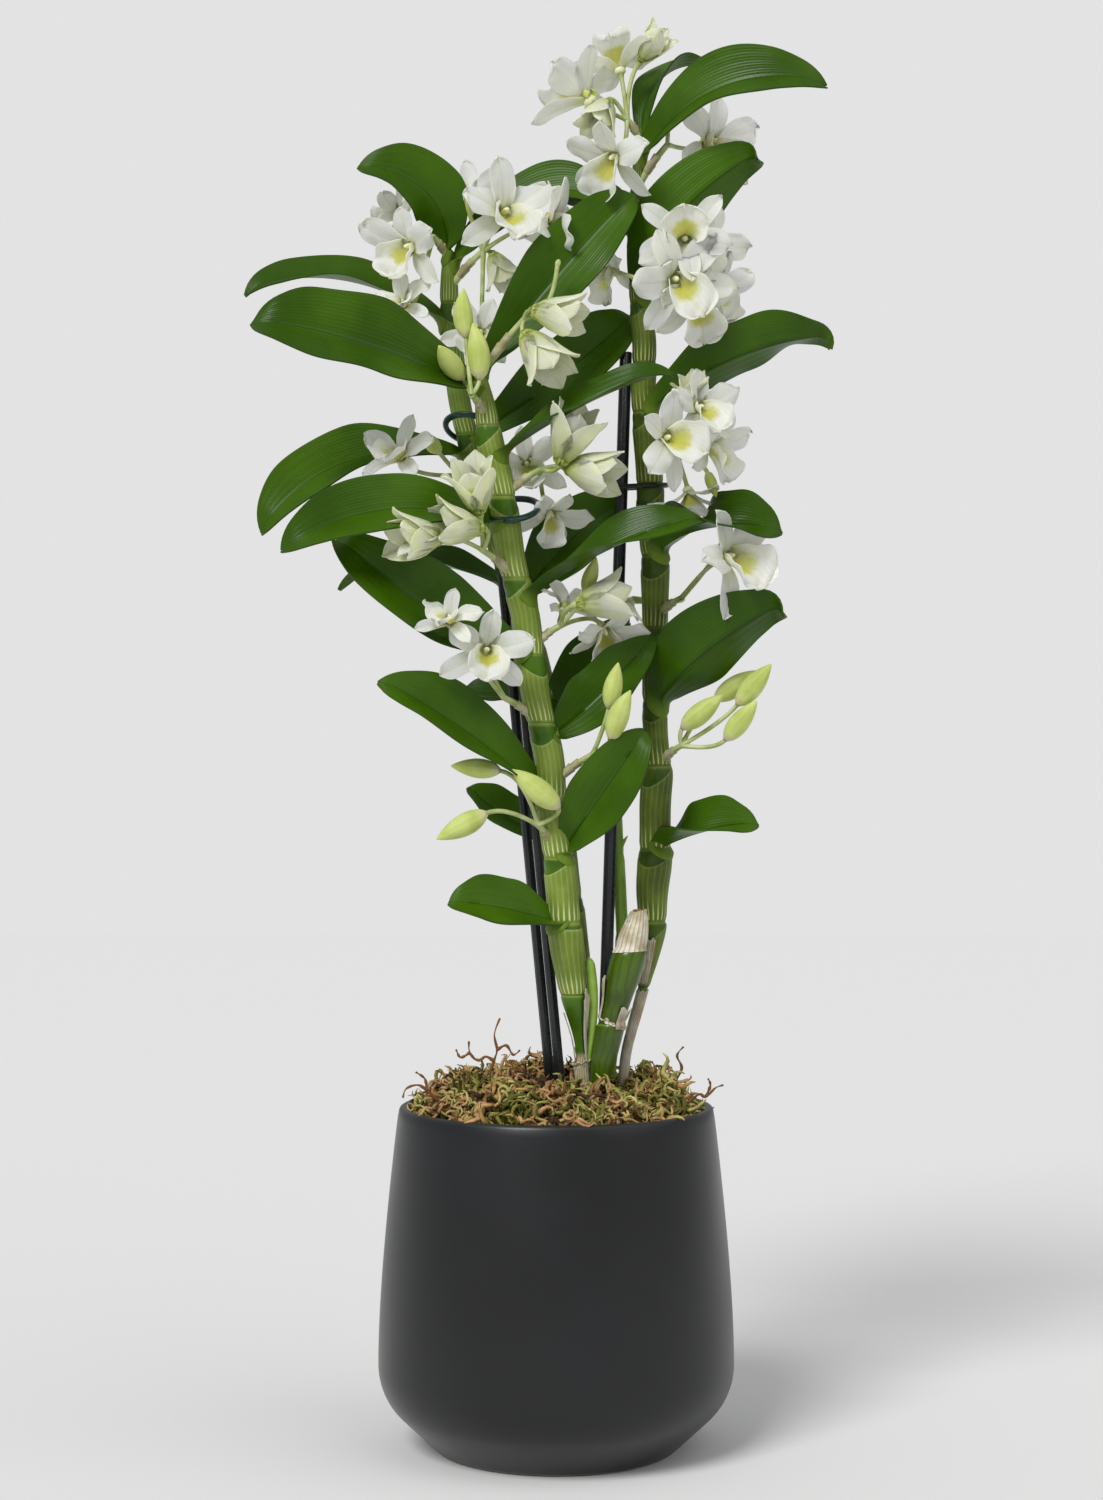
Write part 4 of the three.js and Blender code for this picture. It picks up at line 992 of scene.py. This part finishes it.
# Each spray: its height on the cane, its fork, then its flowers and buds by kind, place, facing, span
# and what is special
SPRAYS = {
    "front": [
        (268, (-8, -30, 280), [
            ("bud", (-35, -40, 305), (-1, 0, 0.1), 22), ("bud", (-9, -40, 296), (-0.75, -0.15, 0.62), 27),
            ("bud", (-41, -42, 280), (-0.87, -0.1, -0.45), 25)]),
        (297, (16, -28, 311), [
            ("bud", (25, -34, 341), (0.2, -0.1, 0.97), 21),
            ("bud", (28, -40, 328), (0.35, -0.2, 0.9), 24)]),
        (324, (-23, -28, 336), [
            ("open", (-45, -54, 367), (-0.25, -0.75, 0.6), 27),
            ("open", (-31, -46, 355), (0.15, -0.95, 0.1), 36)]),
        (357, (2, -22, 368), [
            ("cup", (19, -30, 379), (0.9, 0.3, 0.2), 26), ("open", (3, -4, 375), (0.2, 0.2, 0.4), 30),
            ("open", (20, -6, 369), (0.3, -0.5, -0.7), 32),
            ("bud", (15, -24, 390), (0.3, -0.2, 0.9), 17)]),
        (388, (-32, -38, 400), [
            ("cup", (-35, -48, 426), (-0.15, -0.5, 0.85), 27),
            ("cup", (-42, -50, 410), (-0.75, -0.3, 0.1), 26),
            ("cup", (-59, -60, 404), (-0.8, -0.5, -0.05), 28)]),
        (424, (-7, -24, 437), [
            ("cup", (6, -36, 450), (0.35, -0.2, 0.9), 30), ("cup", (15, -32, 435), (0.85, -0.3, -0.2), 28),
            ("open", (-13, -8, 440), (0, -0.95, 0), 30), ("open", (-4, -4, 421), (0.3, -0.6, -0.6), 30)]),
        (459, (-37, -38, 468), [
            ("bud", (-40, -34, 504), (-0.05, 0, 1), 22), ("bud", (-35, -36, 487), (-0.12, -0.1, 1), 25),
            ("bud", (-46, -38, 482), (-0.4, -0.75, 0.5), 24)]),
        (478, (-14, -32, 502), [
            ("cup", (0, -40, 503), (0.95, -0.25, -0.15), 26),
            ("cup", (-7, -38, 486), (0.55, -0.35, -0.75), 30),
            ("bare", (0.7, -34, 526), (0.25, 0, 1), 4, {"via": (-1.5, -36, 503)})]),
    ],
    "back": [
        (430, (-44, 4, 437), [
            ("open", (-68, -20, 441), (-0.3, -0.7, 0.5), 32),
            ("bud", (-55, -18, 449), (-0.3, -0.85, 0.35), 17)]),
        (536, (-56, 10, 546), [
            ("open", (-68, 2, 512), (-0.2, -0.8, 0.5), 26),
            ("open", (-63, 2, 540), (-0.6, -0.7, -0.25), 38),
            ("open", (-70, 20, 556), (-0.5, 0.2, 0.4), 26, {"via": (-66, 22, 538)})]),
        (523, (-33, 8, 539), [
            ("open", (-40, 6, 563), (0.25, 0.85, 0.25), 32),
            ("open", (-25, -8, 551), (0.4, -0.88, 0.15), 43, {"roll": 22}),
            ("open", (-5, -9, 549), (0.7, -0.3, 0), 34), ("cup", (-25, 6, 530), (0.4, -0.3, -0.8), 22),
            ("open", (-34, -3, 499), (0, -0.9, 0.1), 30)]),
    ],
    "right": [
        (305, (56, -8, 315), [
            ("bud", (65, -12, 330), (0.77, -0.1, 0.64), 24), ("bud", (81, -4, 342), (0.83, 0, 0.55), 24),
            ("bud", (88, -14, 342), (0.62, -0.1, 0.75), 24),
            ("bud", (82, -16, 326), (0.62, -0.2, 0.78), 23)]),
        (372, (56, -8, 381), [
            ("open", (73, -20, 397), (0.62, -0.75, 0.1), 44, {"roll": 20}),
            ("open", (35, 22, 382), (-0.5, 0.2, -0.6), 28, {"via": (62, 24, 380)}),
            ("bud", (77, -4, 420), (0.1, 0, 1), 12)]),
        (435, (54, -12, 444), [
            ("cup", (61, -24, 470), (-0.2, -0.4, 0.9), 19),
            ("open", (61, -24, 463), (0.5, -0.85, 0.05), 34, {"roll": 25}),
            ("open", (47, -34, 449), (0.4, -0.9, 0), 37, {"roll": 50}),
            ("open", (66, -14, 448), (0.7, -0.5, -0.2), 34),
            ("open", (59, -4, 430), (0.2, -0.2, -0.9), 32),
            ("bud", (69, -16, 431), (0.3, -0.3, -0.9), 13)]),
        (516, (46, -15, 520), [
            ("open", (56, -34, 537), (0, -1, -0.05), 38, {"roll": 180}),
            ("open", (62, -18, 536), (0.4, -0.85, -0.15), 35),
            ("open", (51, -32, 519), (0.25, -0.92, -0.2), 42, {"roll": 38}),
            ("open", (67, -10, 519), (0.7, -0.5, -0.3), 35),
            ("open", (60, -20, 513), (0.3, -0.75, -0.55), 37),
            ("open", (27, 12, 532), (-0.6, -0.5, -0.5), 30, {"via": (22, -16, 526)})]),
        (567, (50, -2, 585), [
            ("open", (67, 17, 588), (0.6, -0.75, 0.1), 43, {"roll": -25}),
            ("bud", (52, 12, 606), (0.1, 0, 1), 16)]),
        (588, (32, 2, 597), [
            ("open", (16, -3, 604), (-0.6, 0.45, 0.66), 42), ("open", (29, 5, 619), (-0.2, 0.3, 0.92), 34),
            ("cup", (43, 0, 630), (0.6, -0.3, 0.75), 20), ("cup", (20, -8, 597), (-0.4, -0.5, -0.75), 22),
            ("open", (28, -8, 579), (-0.5, -0.7, -0.45), 38)]),
    ],
}
STALK_RADIUS = 1.6
PEDICEL_RADIUS = 1.0
PETAL_THICKNESS = 0.35
PETAL_TIP_ROWS = 1.6  # how strongly a petal's rows crowd towards its rounded tip
OPEN_REACH = 0.6  # a petal's length as a share of an open flower's span
CUP_REACH = 1.06
PETAL_GRID = (8, 12)
LIP_GRID = (18, 18)
LIP_HEADING = -90
# Outlines: share of the full width at the base, widest place along the length, and bluntness
OBLONG = (0.5, 0.55, 3.4)
SPOON = (0.34, 0.62, 4.0)
LIP_SHAPE = (0.5, 0.62, 3.0)
CUP_SHAPE = (0.55, 0.4, 1.6)
# An open flower's back sepal, two side sepals, two petals and lip: heading in degrees, length and
# width as shares of the reach, lean at base, middle and tip, hollow at base and tip, outline,
# ruffle, and how far the tip may be twisted
OPEN_BLADES = [
    (90, 1.08, 0.46, (0.5, 1.1, 1.5), (0.7, 0.3), OBLONG, 0.05, None),
    (-38, 1.12, 0.42, (0.8, 1.35, 1.75), (0.7, 0.2), OBLONG, 0.05, (-0.4, 0.4)),
    (-142, 1.12, 0.42, (0.8, 1.35, 1.75), (0.7, 0.2), OBLONG, 0.05, (-0.4, 0.4)),
    (22, 1.18, 0.56, (0.5, 1.1, 1.8), (0.9, -0.4), SPOON, 0.11, (-0.9, 0.3)),
    (158, 1.18, 0.56, (0.5, 1.1, 1.8), (0.9, -0.4), SPOON, 0.11, (-0.3, 0.9)),
    (LIP_HEADING, 1.02, 1.05, (0.35, 0.68, 1.6), (2.5, 0.9), LIP_SHAPE, 0.08, None),
]
COLUMN = [((0, 0.04, 0.2), (0.06, 0.055, 0.17)), ((0, -0.02, 0.03), (0.13, 0.13, 0.1))]  # place and size
# A half-closed flower's blades: heading in degrees, length, width and lean
CUP_BLADES = [
    (90, 1.0, 0.64, 0.06), (-30, 0.97, 0.62, 0.1), (-150, 0.97, 0.62, 0.1), (28, 0.97, 0.6, -0.04),
    (152, 0.97, 0.6, -0.04), (LIP_HEADING, 0.84, 0.6, -0.1),
]
BRACTS = ((0.5, 1.35), (0.68, 1.15))  # where each ends along the stalk, and its girth
BRACT_FOOT = 0.3
FLOWER_NECK = 1.9  # how much a flower's stalk swells under it


def petal_finish(name, colours, base_colour, base_reach, **sockets):
    """Petal skin: pale, with faint veins from base to tip, and greener towards the base."""
    material = finish(name, colours[0], 0.5, Subsurface_Weight=0.75, Subsurface_Scale=0.0035,
                      Subsurface_Radius=(1, 1, 0.8), Specular_IOR_Level=0.22, **sockets)
    tree = material.node_tree
    grown = use_group(tree, mottle, Broad=120.0, Fine=900.0)
    place = laid_flat(tree)
    veins = calc(tree, "SINE", calc(tree, "MULTIPLY", place["X"], 75.0))
    from_middle = calc(tree, "ABSOLUTE", calc(tree, "SUBTRACT", place["X"], 0.5))
    colour = mixed(tree, grown["Patches"], *colours)
    colour = mixed(tree, between(tree, place["Y"], base_reach, 0.0), colour, base_colour)
    colour = mixed(tree, calc(tree, "MULTIPLY_ADD", veins, 0.06, 0.06), colour, base_colour)
    colour = mixed(tree, between(tree, from_middle, 0.07, 0.0, 0.0, 0.3), colour, base_colour)
    height = calc(tree, "MULTIPLY_ADD", veins, 0.5, grown["Grain"])
    feed(material, Base_Color=colour, Normal=relief(tree, height, 0.07, 0.4))
    return material


petal_white = petal_finish("petal_white", tones("f1f2de", "fbfaf0"), shade("c6d482"), 0.3)
petal_cream = petal_finish("petal_cream", tones("edf1b6", "f9fad8"), shade("b8cc58"), 0.5)
bud_green = petal_finish("bud_skin", tones("b4c262", "c6d27e"), shade("d8cfaa"), 0.25)

# The lip is white with a soft-edged yellow-green blotch low on its middle
lip_white = petal_finish("lip_white", tones("f2f3e0", "fbfaee"), shade("c8cc52"), 0.28)
tree = lip_white.node_tree
place = laid_flat(tree)
sideways = calc(tree, "DIVIDE", calc(tree, "SUBTRACT", place["X"], 0.5), 0.33)
lengthways = calc(tree, "DIVIDE", calc(tree, "SUBTRACT", place["Y"], 0.29), 0.21)
away = calc(tree, "ADD", *[calc(tree, "MULTIPLY", offset, offset) for offset in (sideways, lengthways)])
blur = node(tree, "TexNoise", {"Vector": node(tree, "TexCoord").outputs["Object"], "Scale": 500.0})
away = calc(tree, "ADD", away, calc(tree, "MULTIPLY_ADD", blur.outputs["Fac"], 0.8, -0.4))
blotch = between(tree, away, 1.45, 0.15)
white = tree.nodes["Principled BSDF"].inputs["Base Color"].links[0].from_socket
feed(lip_white, Base_Color=mixed(tree, calc(tree, "MULTIPLY", blotch, 0.92), white, shade("b3b01c")))

stalk_green = two_toned("stalk_skin", "b7c486", ("93a653", "c3ca92"), 0.4, (150.0, 900.0), (0.08, 0.5),
                        Subsurface_Weight=0.2, Subsurface_Scale=0.0015)
bract_brown = two_toned("bract_skin", "c4b295", ("98906a", "c0bb96"), 0.6, (200.0, 900.0), (0.2,))
column_cream = finish("column_cream", shade("f0eec2"), 0.5, Subsurface_Weight=0.7, Subsurface_Scale=0.002,
                      Subsurface_Radius=(1, 1, 0.7), Specular_IOR_Level=0.2)
SPRAY_FINISHES = [petal_white, petal_cream, lip_white, bud_green, stalk_green, bract_brown, column_cream]


def petal(seat, heading, length, width, opening, hollow, luck, outline, ruffle, grid=PETAL_GRID, twist=0.0):
    """One petal or sepal from the flower's centre: heading is its turn round the facing, opening its
    lean from the facing at base, middle and tip, and hollow how far its sides curve in at base and
    tip, all in radians."""
    base_share, widest, bluntness = outline
    phase, frequency = luck.uniform(0, 6), 9 if grid[0] < 12 else 17
    round_heading = Vector((math.cos(heading), math.sin(heading), 0))
    facing = Vector((0, 0, 1))
    sideways = facing.cross(round_heading)

    def lean_at(t):
        base, middle, tip = opening
        return base * (2 * t - 1) * (t - 1) + middle * 4 * t * (1 - t) + tip * t * (2 * t - 1)

    steps = 2 * grid[1]
    spine = [Vector((0, 0, 0))]
    for k in range(steps):
        lean = lean_at((k + 0.5) / steps)
        spine.append(spine[-1] + (round_heading * math.sin(lean) + facing * math.cos(lean)) * length / steps)

    def blade(s, t):
        t = 1 - max(1 - t, 0) ** PETAL_TIP_ROWS
        lean = lean_at(t)
        tangent = round_heading * math.sin(lean) + facing * math.cos(lean)
        upper = facing * math.sin(lean) - round_heading * math.cos(lean)
        share = base_share + (1 - base_share) * smooth(t, 0, widest)
        share *= max(1 - max(0, (t - widest) / (1 - widest)) ** bluntness, 0.012) ** 0.5
        half = width / 2 * share
        curve = hollow[0] + (hollow[1] - hollow[0]) * smooth(t, 0, 0.9)
        curve = curve if abs(curve) > 1e-3 else 1e-3
        turned = twist * t
        beside = half / curve * math.sin(curve * s)
        raised = half / curve * (1 - math.cos(curve * s))
        rim_share = max(abs(s) ** 2.5, smooth(t, 0.75, 1))
        ripple = math.sin(frequency * (t + 0.35 * s) + phase)
        raised += ruffle * width * rim_share * smooth(t, 0.25, 0.7) * ripple
        raised -= 0.03 * width * math.exp(-(s / 0.14) ** 2)
        k = min(int(t * steps), steps - 1)
        place = spine[k].lerp(spine[k + 1], t * steps - k)
        place += sideways * (beside * math.cos(turned) - raised * math.sin(turned))
        place += upper * (raised * math.cos(turned) + beside * math.sin(turned))
        place -= tangent * (length * 0.05 * s * s * smooth(t, 0.6, 1))
        return seat @ place

    return moulded("blade", *grid, blade)


def flower_seat(at, look, roll):
    """The place of a flower: Z along its facing and Y to its back sepal."""
    facing = Vector(look).normalized()
    upright = Vector((0, 0, 1)) if abs(facing.z) < 0.9 else Vector((0, 1, 0.3))
    up = (upright - facing * facing.dot(upright)).normalized()
    turned = Matrix.Rotation(math.radians(roll), 3, facing)
    up = turned @ up
    side = up.cross(facing)
    axes = Matrix((side, up, facing)).transposed().to_4x4()
    return Matrix.Translation(Vector(at)) @ axes


def skin_with(piece, material):
    """All of the piece in one of the spray's finishes."""
    for known in SPRAY_FINISHES:
        piece.data.materials.append(known)
    index = SPRAY_FINISHES.index(material)
    piece.data.polygons.foreach_set("material_index", [index] * len(piece.data.polygons))
    return piece


def bead(seat, at, size, material):
    """A small rounded body such as the column's cap."""
    deselect()
    bpy.ops.mesh.primitive_uv_sphere_add(segments=12, ring_count=8, radius=1)
    cap = bpy.context.object
    for vertex in cap.data.vertices:
        grown = Vector(vertex.co[k] * size[k] + at[k] for k in range(3))
        vertex.co = (seat @ grown) * MM
    return skin_with(cap, material)


def petals_round(blades):
    """Petals joined and given their thickness."""
    sheet = joined("petals", blades)
    finished_with(sheet, "SOLIDIFY", thickness=PETAL_THICKNESS * MM, offset=0)
    return sheet


def open_flower(seat, span, luck):
    """Three sepals, two broad petals, a lip and a column, all fully open."""
    reach = span * OPEN_REACH
    blades = []
    for heading, length, width, opening, hollow, outline, ruffle, twists in OPEN_BLADES:
        is_lip = heading == LIP_HEADING
        twist = luck.uniform(*twists) if twists else 0.0
        jitter = luck.uniform(-0.12, 0.12)
        opening = (opening[0], opening[1] + jitter, opening[2] + 2.5 * jitter)
        turn = math.radians(heading + luck.uniform(-9, 9))
        longer = reach * length * luck.uniform(0.9, 1.08)
        wider = reach * width * luck.uniform(0.92, 1.08)
        blade = petal(seat, turn, longer, wider, opening, hollow, luck, outline, ruffle,
                      LIP_GRID if is_lip else PETAL_GRID, twist)
        blades.append(skin_with(blade, lip_white if is_lip else petal_white))
    middle = [bead(seat, [reach * part for part in place], [reach * part for part in size], column_cream)
              for place, size in COLUMN]
    return [petals_round(blades)] + middle


def cup_flower(seat, span, luck):
    """A young flower, still half closed to a bell of pointed petals."""
    blades = []
    reach = span * CUP_REACH
    for heading, length, width, lean in CUP_BLADES:
        tip = luck.uniform(0.3, 0.95)
        opening = (0.95 + lean, 0.2 + lean + luck.uniform(-0.04, 0.08), tip + lean)
        turn = math.radians(heading + luck.uniform(-7, 7))
        blade = petal(seat, turn, reach * length, reach * width, opening, (1.5, 0.5), luck, CUP_SHAPE, 0.02)
        blades.append(skin_with(blade, lip_white if heading == LIP_HEADING else petal_cream))
    return [petals_round(blades)]


def closed_bud(seat, span, luck):
    """A slim bud: three sepals shut tight, with shallow seams between them, on a rounded spur."""
    bow = luck.uniform(-0.05, 0.05)

    def centre(t):
        return seat @ Vector((bow * span * math.sin(math.pi * t), 0, span * (t - 0.5)))

    def radius(t, turn):
        body = span * 0.20 * (math.sin(math.pi * min(max(t, 0.015), 0.99) ** 0.8)) ** 0.75
        seam = 1 - 0.07 * math.exp(-(math.sin(1.5 * turn) / 0.16) ** 2)
        spur = 0.22 * math.exp(-((t - 0.1) / 0.1) ** 2) * max(0, math.cos(turn))
        return max(body * (seam + spur), 0.05)

    return [skin_with(round_stalk("bud", centre, radius, 24, 18), bud_green)]


def bare_tip(seat, span, luck):
    """The blunt end of a stalk that has lost its bud."""
    return [bead(seat, (0, 0, 0), (1.3, 1.3, 1.9), stalk_green)]


# How each kind is made, how far its place lies before the stalk's end, and whether it sits back there
FLOWER_KINDS = {"open": (open_flower, -0.01, False), "cup": (cup_flower, 0.45, True),
                "bud": (closed_bud, 0.45, False), "bare": (bare_tip, 0.3, False)}


def spray(node_name, cane, height, fork, flowers):
    """A stalk from a joint to its fork, with two dry bracts, and a thin stalk to each flower."""
    luck = random.Random(node_name)
    foot, _ = cane_at(cane, height)
    fork = Vector(fork)

    def stalk_line(t):
        return foot.lerp(fork, t) + Vector((0, 0, 1.2)) * math.sin(math.pi * t)

    stalk = round_stalk("stalk", stalk_line, lambda t, turn: STALK_RADIUS * (1.1 - 0.25 * t), 10, 8)
    pieces = [skin_with(stalk, stalk_green)]
    for reach, girth in BRACTS:

        def bract_line(t, reach=reach):
            return stalk_line(BRACT_FOOT + (reach - BRACT_FOOT) * t)

        def bract_radius(t, turn, girth=girth):
            return STALK_RADIUS * girth * (0.85 + 0.2 * t) + 0.2 * math.sin(3 * turn) * t

        bract = round_stalk("bract", bract_line, bract_radius, 12, 6)
        pieces.append(skin_with(bract, bract_brown))
    for kind, at, look, span, *special in flowers:
        special = special[0] if special else {}
        make, behind, sits_back = FLOWER_KINDS[kind]
        facing = Vector(look).normalized()
        back = Vector(at) - facing * behind * span
        away = (back - fork).length
        bend = Vector(special["via"]) if "via" in special else back - facing * away * 0.35
        swell = FLOWER_NECK if kind in ("open", "cup") else 1.0

        def pedicel_line(t, bend=bend, back=back):
            return fork * (1 - t) ** 2 + bend * 2 * t * (1 - t) + back * t * t

        def pedicel_radius(t, turn, swell=swell):
            return PEDICEL_RADIUS * (1 + (swell - 1) * smooth(t, 0.78, 1) + 0.35 * smooth(t, 0.12, 0))

        pedicel = round_stalk("pedicel", pedicel_line, pedicel_radius, 10, 14)
        pieces.append(skin_with(pedicel, stalk_green))
        roll = special.get("roll", 0) + luck.uniform(-18, 18)
        pieces.extend(make(flower_seat(back if sits_back else at, look, roll), span, luck))
    piece = joined(node_name + "_bloom", pieces)
    smoothed(piece, 60)
    hand_over(piece, "flower_spray", node_name)


for cane_name, rows in SPRAYS.items():
    for k, row in enumerate(rows, 1):
        spray(f"spray_{cane_name}_{k}", CANES[cane_name], *row)

# --- Moss ---
# Dried curly moss, teased out and heaped over the bark to the pot's rim, olive and tan, with a
# few fine red-brown twigs in it.
MOSS_RADIUS = 63.5
MOSS_TOP = (151, 157, 159.5)  # height at the edge, the shoulder and the middle
MOSS_FOOT = 142
MOSS_MOUNDS = [  # x, y, height and width
    (-44, 10, 5, 18), (-10, 36, 6, 22), (44, 18, 6, 19), (55, -14, 4, 12), (-24, -32, 6, 14),
]
MOSS_LUMPS = [(7, 20, 0), (3, 8, 9)]  # rise, size and seed
MOSS_STRANDS = 1680
MOSS_KINDS = 26
STRAND_STEPS = 12
STRAND_DEPTHS = (-3.5, 2.5)
STRAY_RISE = 5  # how far a few strands stand up from the heap
MOSS_TONES = {
    0.0: "5e5f24", 0.2: "92903f", 0.4: "ccc67a", 0.52: "b8955a",
    0.72: "d3a877", 0.88: "8a5a34", 1.0: "3a2a1a",
}
TONE_PATCHES = (0.9, 15)  # strength and size
BED_TONE = 0.93
BED_EDGE = 0.2  # the share of the bed's rows that climb its edge
TWIG_TONE = 0.9
TWIGS = [
    [(-28, -24, 160), (-29.2, -25, 169.7), (-27.5, -26, 176), (-26.1, -27, 181), (-27.2, -28, 188),
     (-24.8, -28, 195)],
    [(-27.5, -26, 176), (-31, -27, 178), (-34.5, -28, 176.3), (-38, -29, 180), (-38.4, -30, 185)],
    [(-26.1, -27, 181), (-22, -28, 183), (-19, -28, 179), (-16, -29, 181)],
    [(-38, -29, 180), (-42, -30, 178), (-44, -31, 181.5)],
    [(-52, -24, 158), (-57, -26, 163), (-61, -27, 165.5), (-66, -28, 164), (-67.5, -28, 160)],
    [(-57, -26, 163), (-58, -25, 168), (-62, -25, 171)],
    [(-17, -26, 160), (-19.5, -27, 168), (-18, -28, 172), (-20.5, -29, 176)],
    [(58, -22, 157), (63, -24, 161), (66, -25, 160), (70, -26, 164), (73.5, -27, 165.5)],
    [(66, -25, 160), (68, -24, 165), (67, -24, 168)],
    [(40, -26, 164), (44, -27, 171), (42, -28, 176)],
    [(52, 10, 160), (57, 12, 168), (55, 13, 174), (58, 14, 178)],
]

moss_skin = finish("dried_moss", shade("7d7440"), 0.85, Specular_IOR_Level=0.25)
tree = moss_skin.node_tree
dried = use_group(tree, mottle, Broad=180.0, Fine=1500.0)
ramp = node(tree, "ValToRGB", {"Fac": measured(tree, "tone")})
while len(ramp.color_ramp.elements) < len(MOSS_TONES):
    ramp.color_ramp.elements.new(0.5)
for element, (position, code) in zip(ramp.color_ramp.elements, MOSS_TONES.items()):
    element.position = position
    element.color = (*shade(code), 1)
feed(moss_skin, Base_Color=mixed(tree, calc(tree, "MULTIPLY", dried["Patches"], 0.35), ramp.outputs["Color"],
                                 shade("3f3a1c")),
     Normal=relief(tree, dried["Grain"], 0.3))


def heap(x, y):
    """The height of the moss heap's surface."""
    out = math.hypot(x, y) / MOSS_RADIUS
    edge, shoulder, middle = MOSS_TOP
    level = middle + (shoulder - middle) * smooth(out, 0.35, 0.8) + (edge - shoulder) * smooth(out, 0.75, 1)
    lumps = sum(rise * noise.noise(Vector((x, y, seed)) / size) for rise, size, seed in MOSS_LUMPS)
    mounds = sum(rise * math.exp(-((x - at_x) ** 2 + (y - at_y) ** 2) / wide ** 2)
                 for at_x, at_y, rise, wide in MOSS_MOUNDS)
    return level + (lumps * 0.6 + mounds) * smooth(out, 1.08, 0.8)


def strand_kind(luck):
    """A curly strand lying along X about the origin."""
    length = luck.uniform(14, 28)
    curl, lift = luck.uniform(0.4, 1.2), luck.uniform(0.5, 1.6)
    phase, thick = luck.uniform(0, 6), luck.uniform(0.5, 1.0)
    line = [Vector((0, 0, 0))]
    heading = luck.uniform(-0.6, 0.6)
    for k in range(STRAND_STEPS):
        heading += curl * math.sin(0.9 * k + phase)
        rise = lift * math.sin(0.8 * k + 2 * phase)
        onwards = Vector((math.cos(heading), math.sin(heading), rise)).normalized()
        line.append(line[-1] + onwards * length / STRAND_STEPS)
    middle = sum(line, Vector()) / len(line)

    def centre(t):
        k = min(int(t * STRAND_STEPS), STRAND_STEPS - 1)
        return line[k].lerp(line[k + 1], t * STRAND_STEPS - k) - middle

    def radius(t, turn):
        return thick * (0.2 + math.sin(math.pi * t) ** 0.7)

    return round_stalk("strand", centre, radius, 4, STRAND_STEPS)


luck = random.Random("moss")
kinds = [strand_kind(luck) for _ in range(MOSS_KINDS)]
strands = []
for k in range(MOSS_STRANDS):
    turn = luck.uniform(0, 2 * math.pi)
    out = MOSS_RADIUS * math.sqrt(luck.uniform(0, 1))
    x, y = out * math.cos(turn), out * math.sin(turn)
    mesh = luck.choice(kinds).data.copy()
    tilt = Matrix.Rotation(luck.gauss(0, 0.9), 4, "X") @ Matrix.Rotation(luck.gauss(0, 0.5), 4, "Y")
    spin = Matrix.Rotation(luck.uniform(0, 2 * math.pi), 4, "Z")
    size = luck.uniform(0.75, 1.25)
    lift = luck.uniform(*STRAND_DEPTHS) + STRAY_RISE * luck.random() ** 5
    place = Vector((x, y, heap(x, y) + lift)) * MM
    mesh.transform(Matrix.Translation(place) @ spin @ tilt @ Matrix.Scale(size, 4))
    strength, size_of_patches = TONE_PATCHES
    patch = 0.5 - x / 400 + strength * noise.noise(Vector((x, y, 4)) / size_of_patches) + luck.gauss(0, 0.24)
    tone_value = min(max(patch, 0), 1)
    layer = mesh.attributes.new("tone", "FLOAT", "POINT")
    layer.data.foreach_set("value", [tone_value] * len(mesh.vertices))
    strand = bpy.data.objects.new("strand", mesh)
    bpy.context.collection.objects.link(strand)
    strands.append(strand)
for kind in kinds:
    bpy.data.objects.remove(kind)


def bed_skin(turn, t):
    """The dark bed under the strands: up the inside of the heap's edge and over its top."""
    out = MOSS_RADIUS * (1 - max(t - BED_EDGE, 0) / (1 - BED_EDGE) * 0.98)
    x, y = out * math.cos(turn), out * math.sin(turn)
    top = heap(x, y) - 2.5
    return Vector((x, y, MOSS_FOOT + (top - MOSS_FOOT) * min(t / BED_EDGE, 1)))


def twig_line(points):
    """The place along a twig, rounded at its bends."""
    places = [Vector(point) for point in points]

    def line(t):
        at = t * (len(places) - 1)
        k = min(int(at), len(places) - 2)
        before, after = places[max(k - 1, 0)], places[min(k + 2, len(places) - 1)]
        u = at - k
        start, end = (places[k + 1] - before) / 2, (after - places[k]) / 2
        return (places[k] * (2 * u ** 3 - 3 * u ** 2 + 1) + places[k + 1] * (3 * u ** 2 - 2 * u ** 3)
                + start * (u ** 3 - 2 * u ** 2 + u) + end * (u ** 3 - u ** 2))

    return line


def twig_radius(t, turn):
    return 0.75 - 0.4 * t + 0.15 * math.sin(21 * t)


bed = rolled("moss_bed", 72, 40, bed_skin)
attribute(bed, "tone", lambda place: BED_TONE)
pieces = [bed] + strands
for points in TWIGS:
    twig = round_stalk("twig", twig_line(points), twig_radius, 6, 8 * len(points))
    attribute(twig, "tone", lambda place: TWIG_TONE)
    pieces.append(twig)
moss = joined("moss_heap", pieces)
moss.data.materials.clear()
moss.data.materials.append(moss_skin)
smoothed(moss)
hand_over(moss, "moss", "moss_dressing")
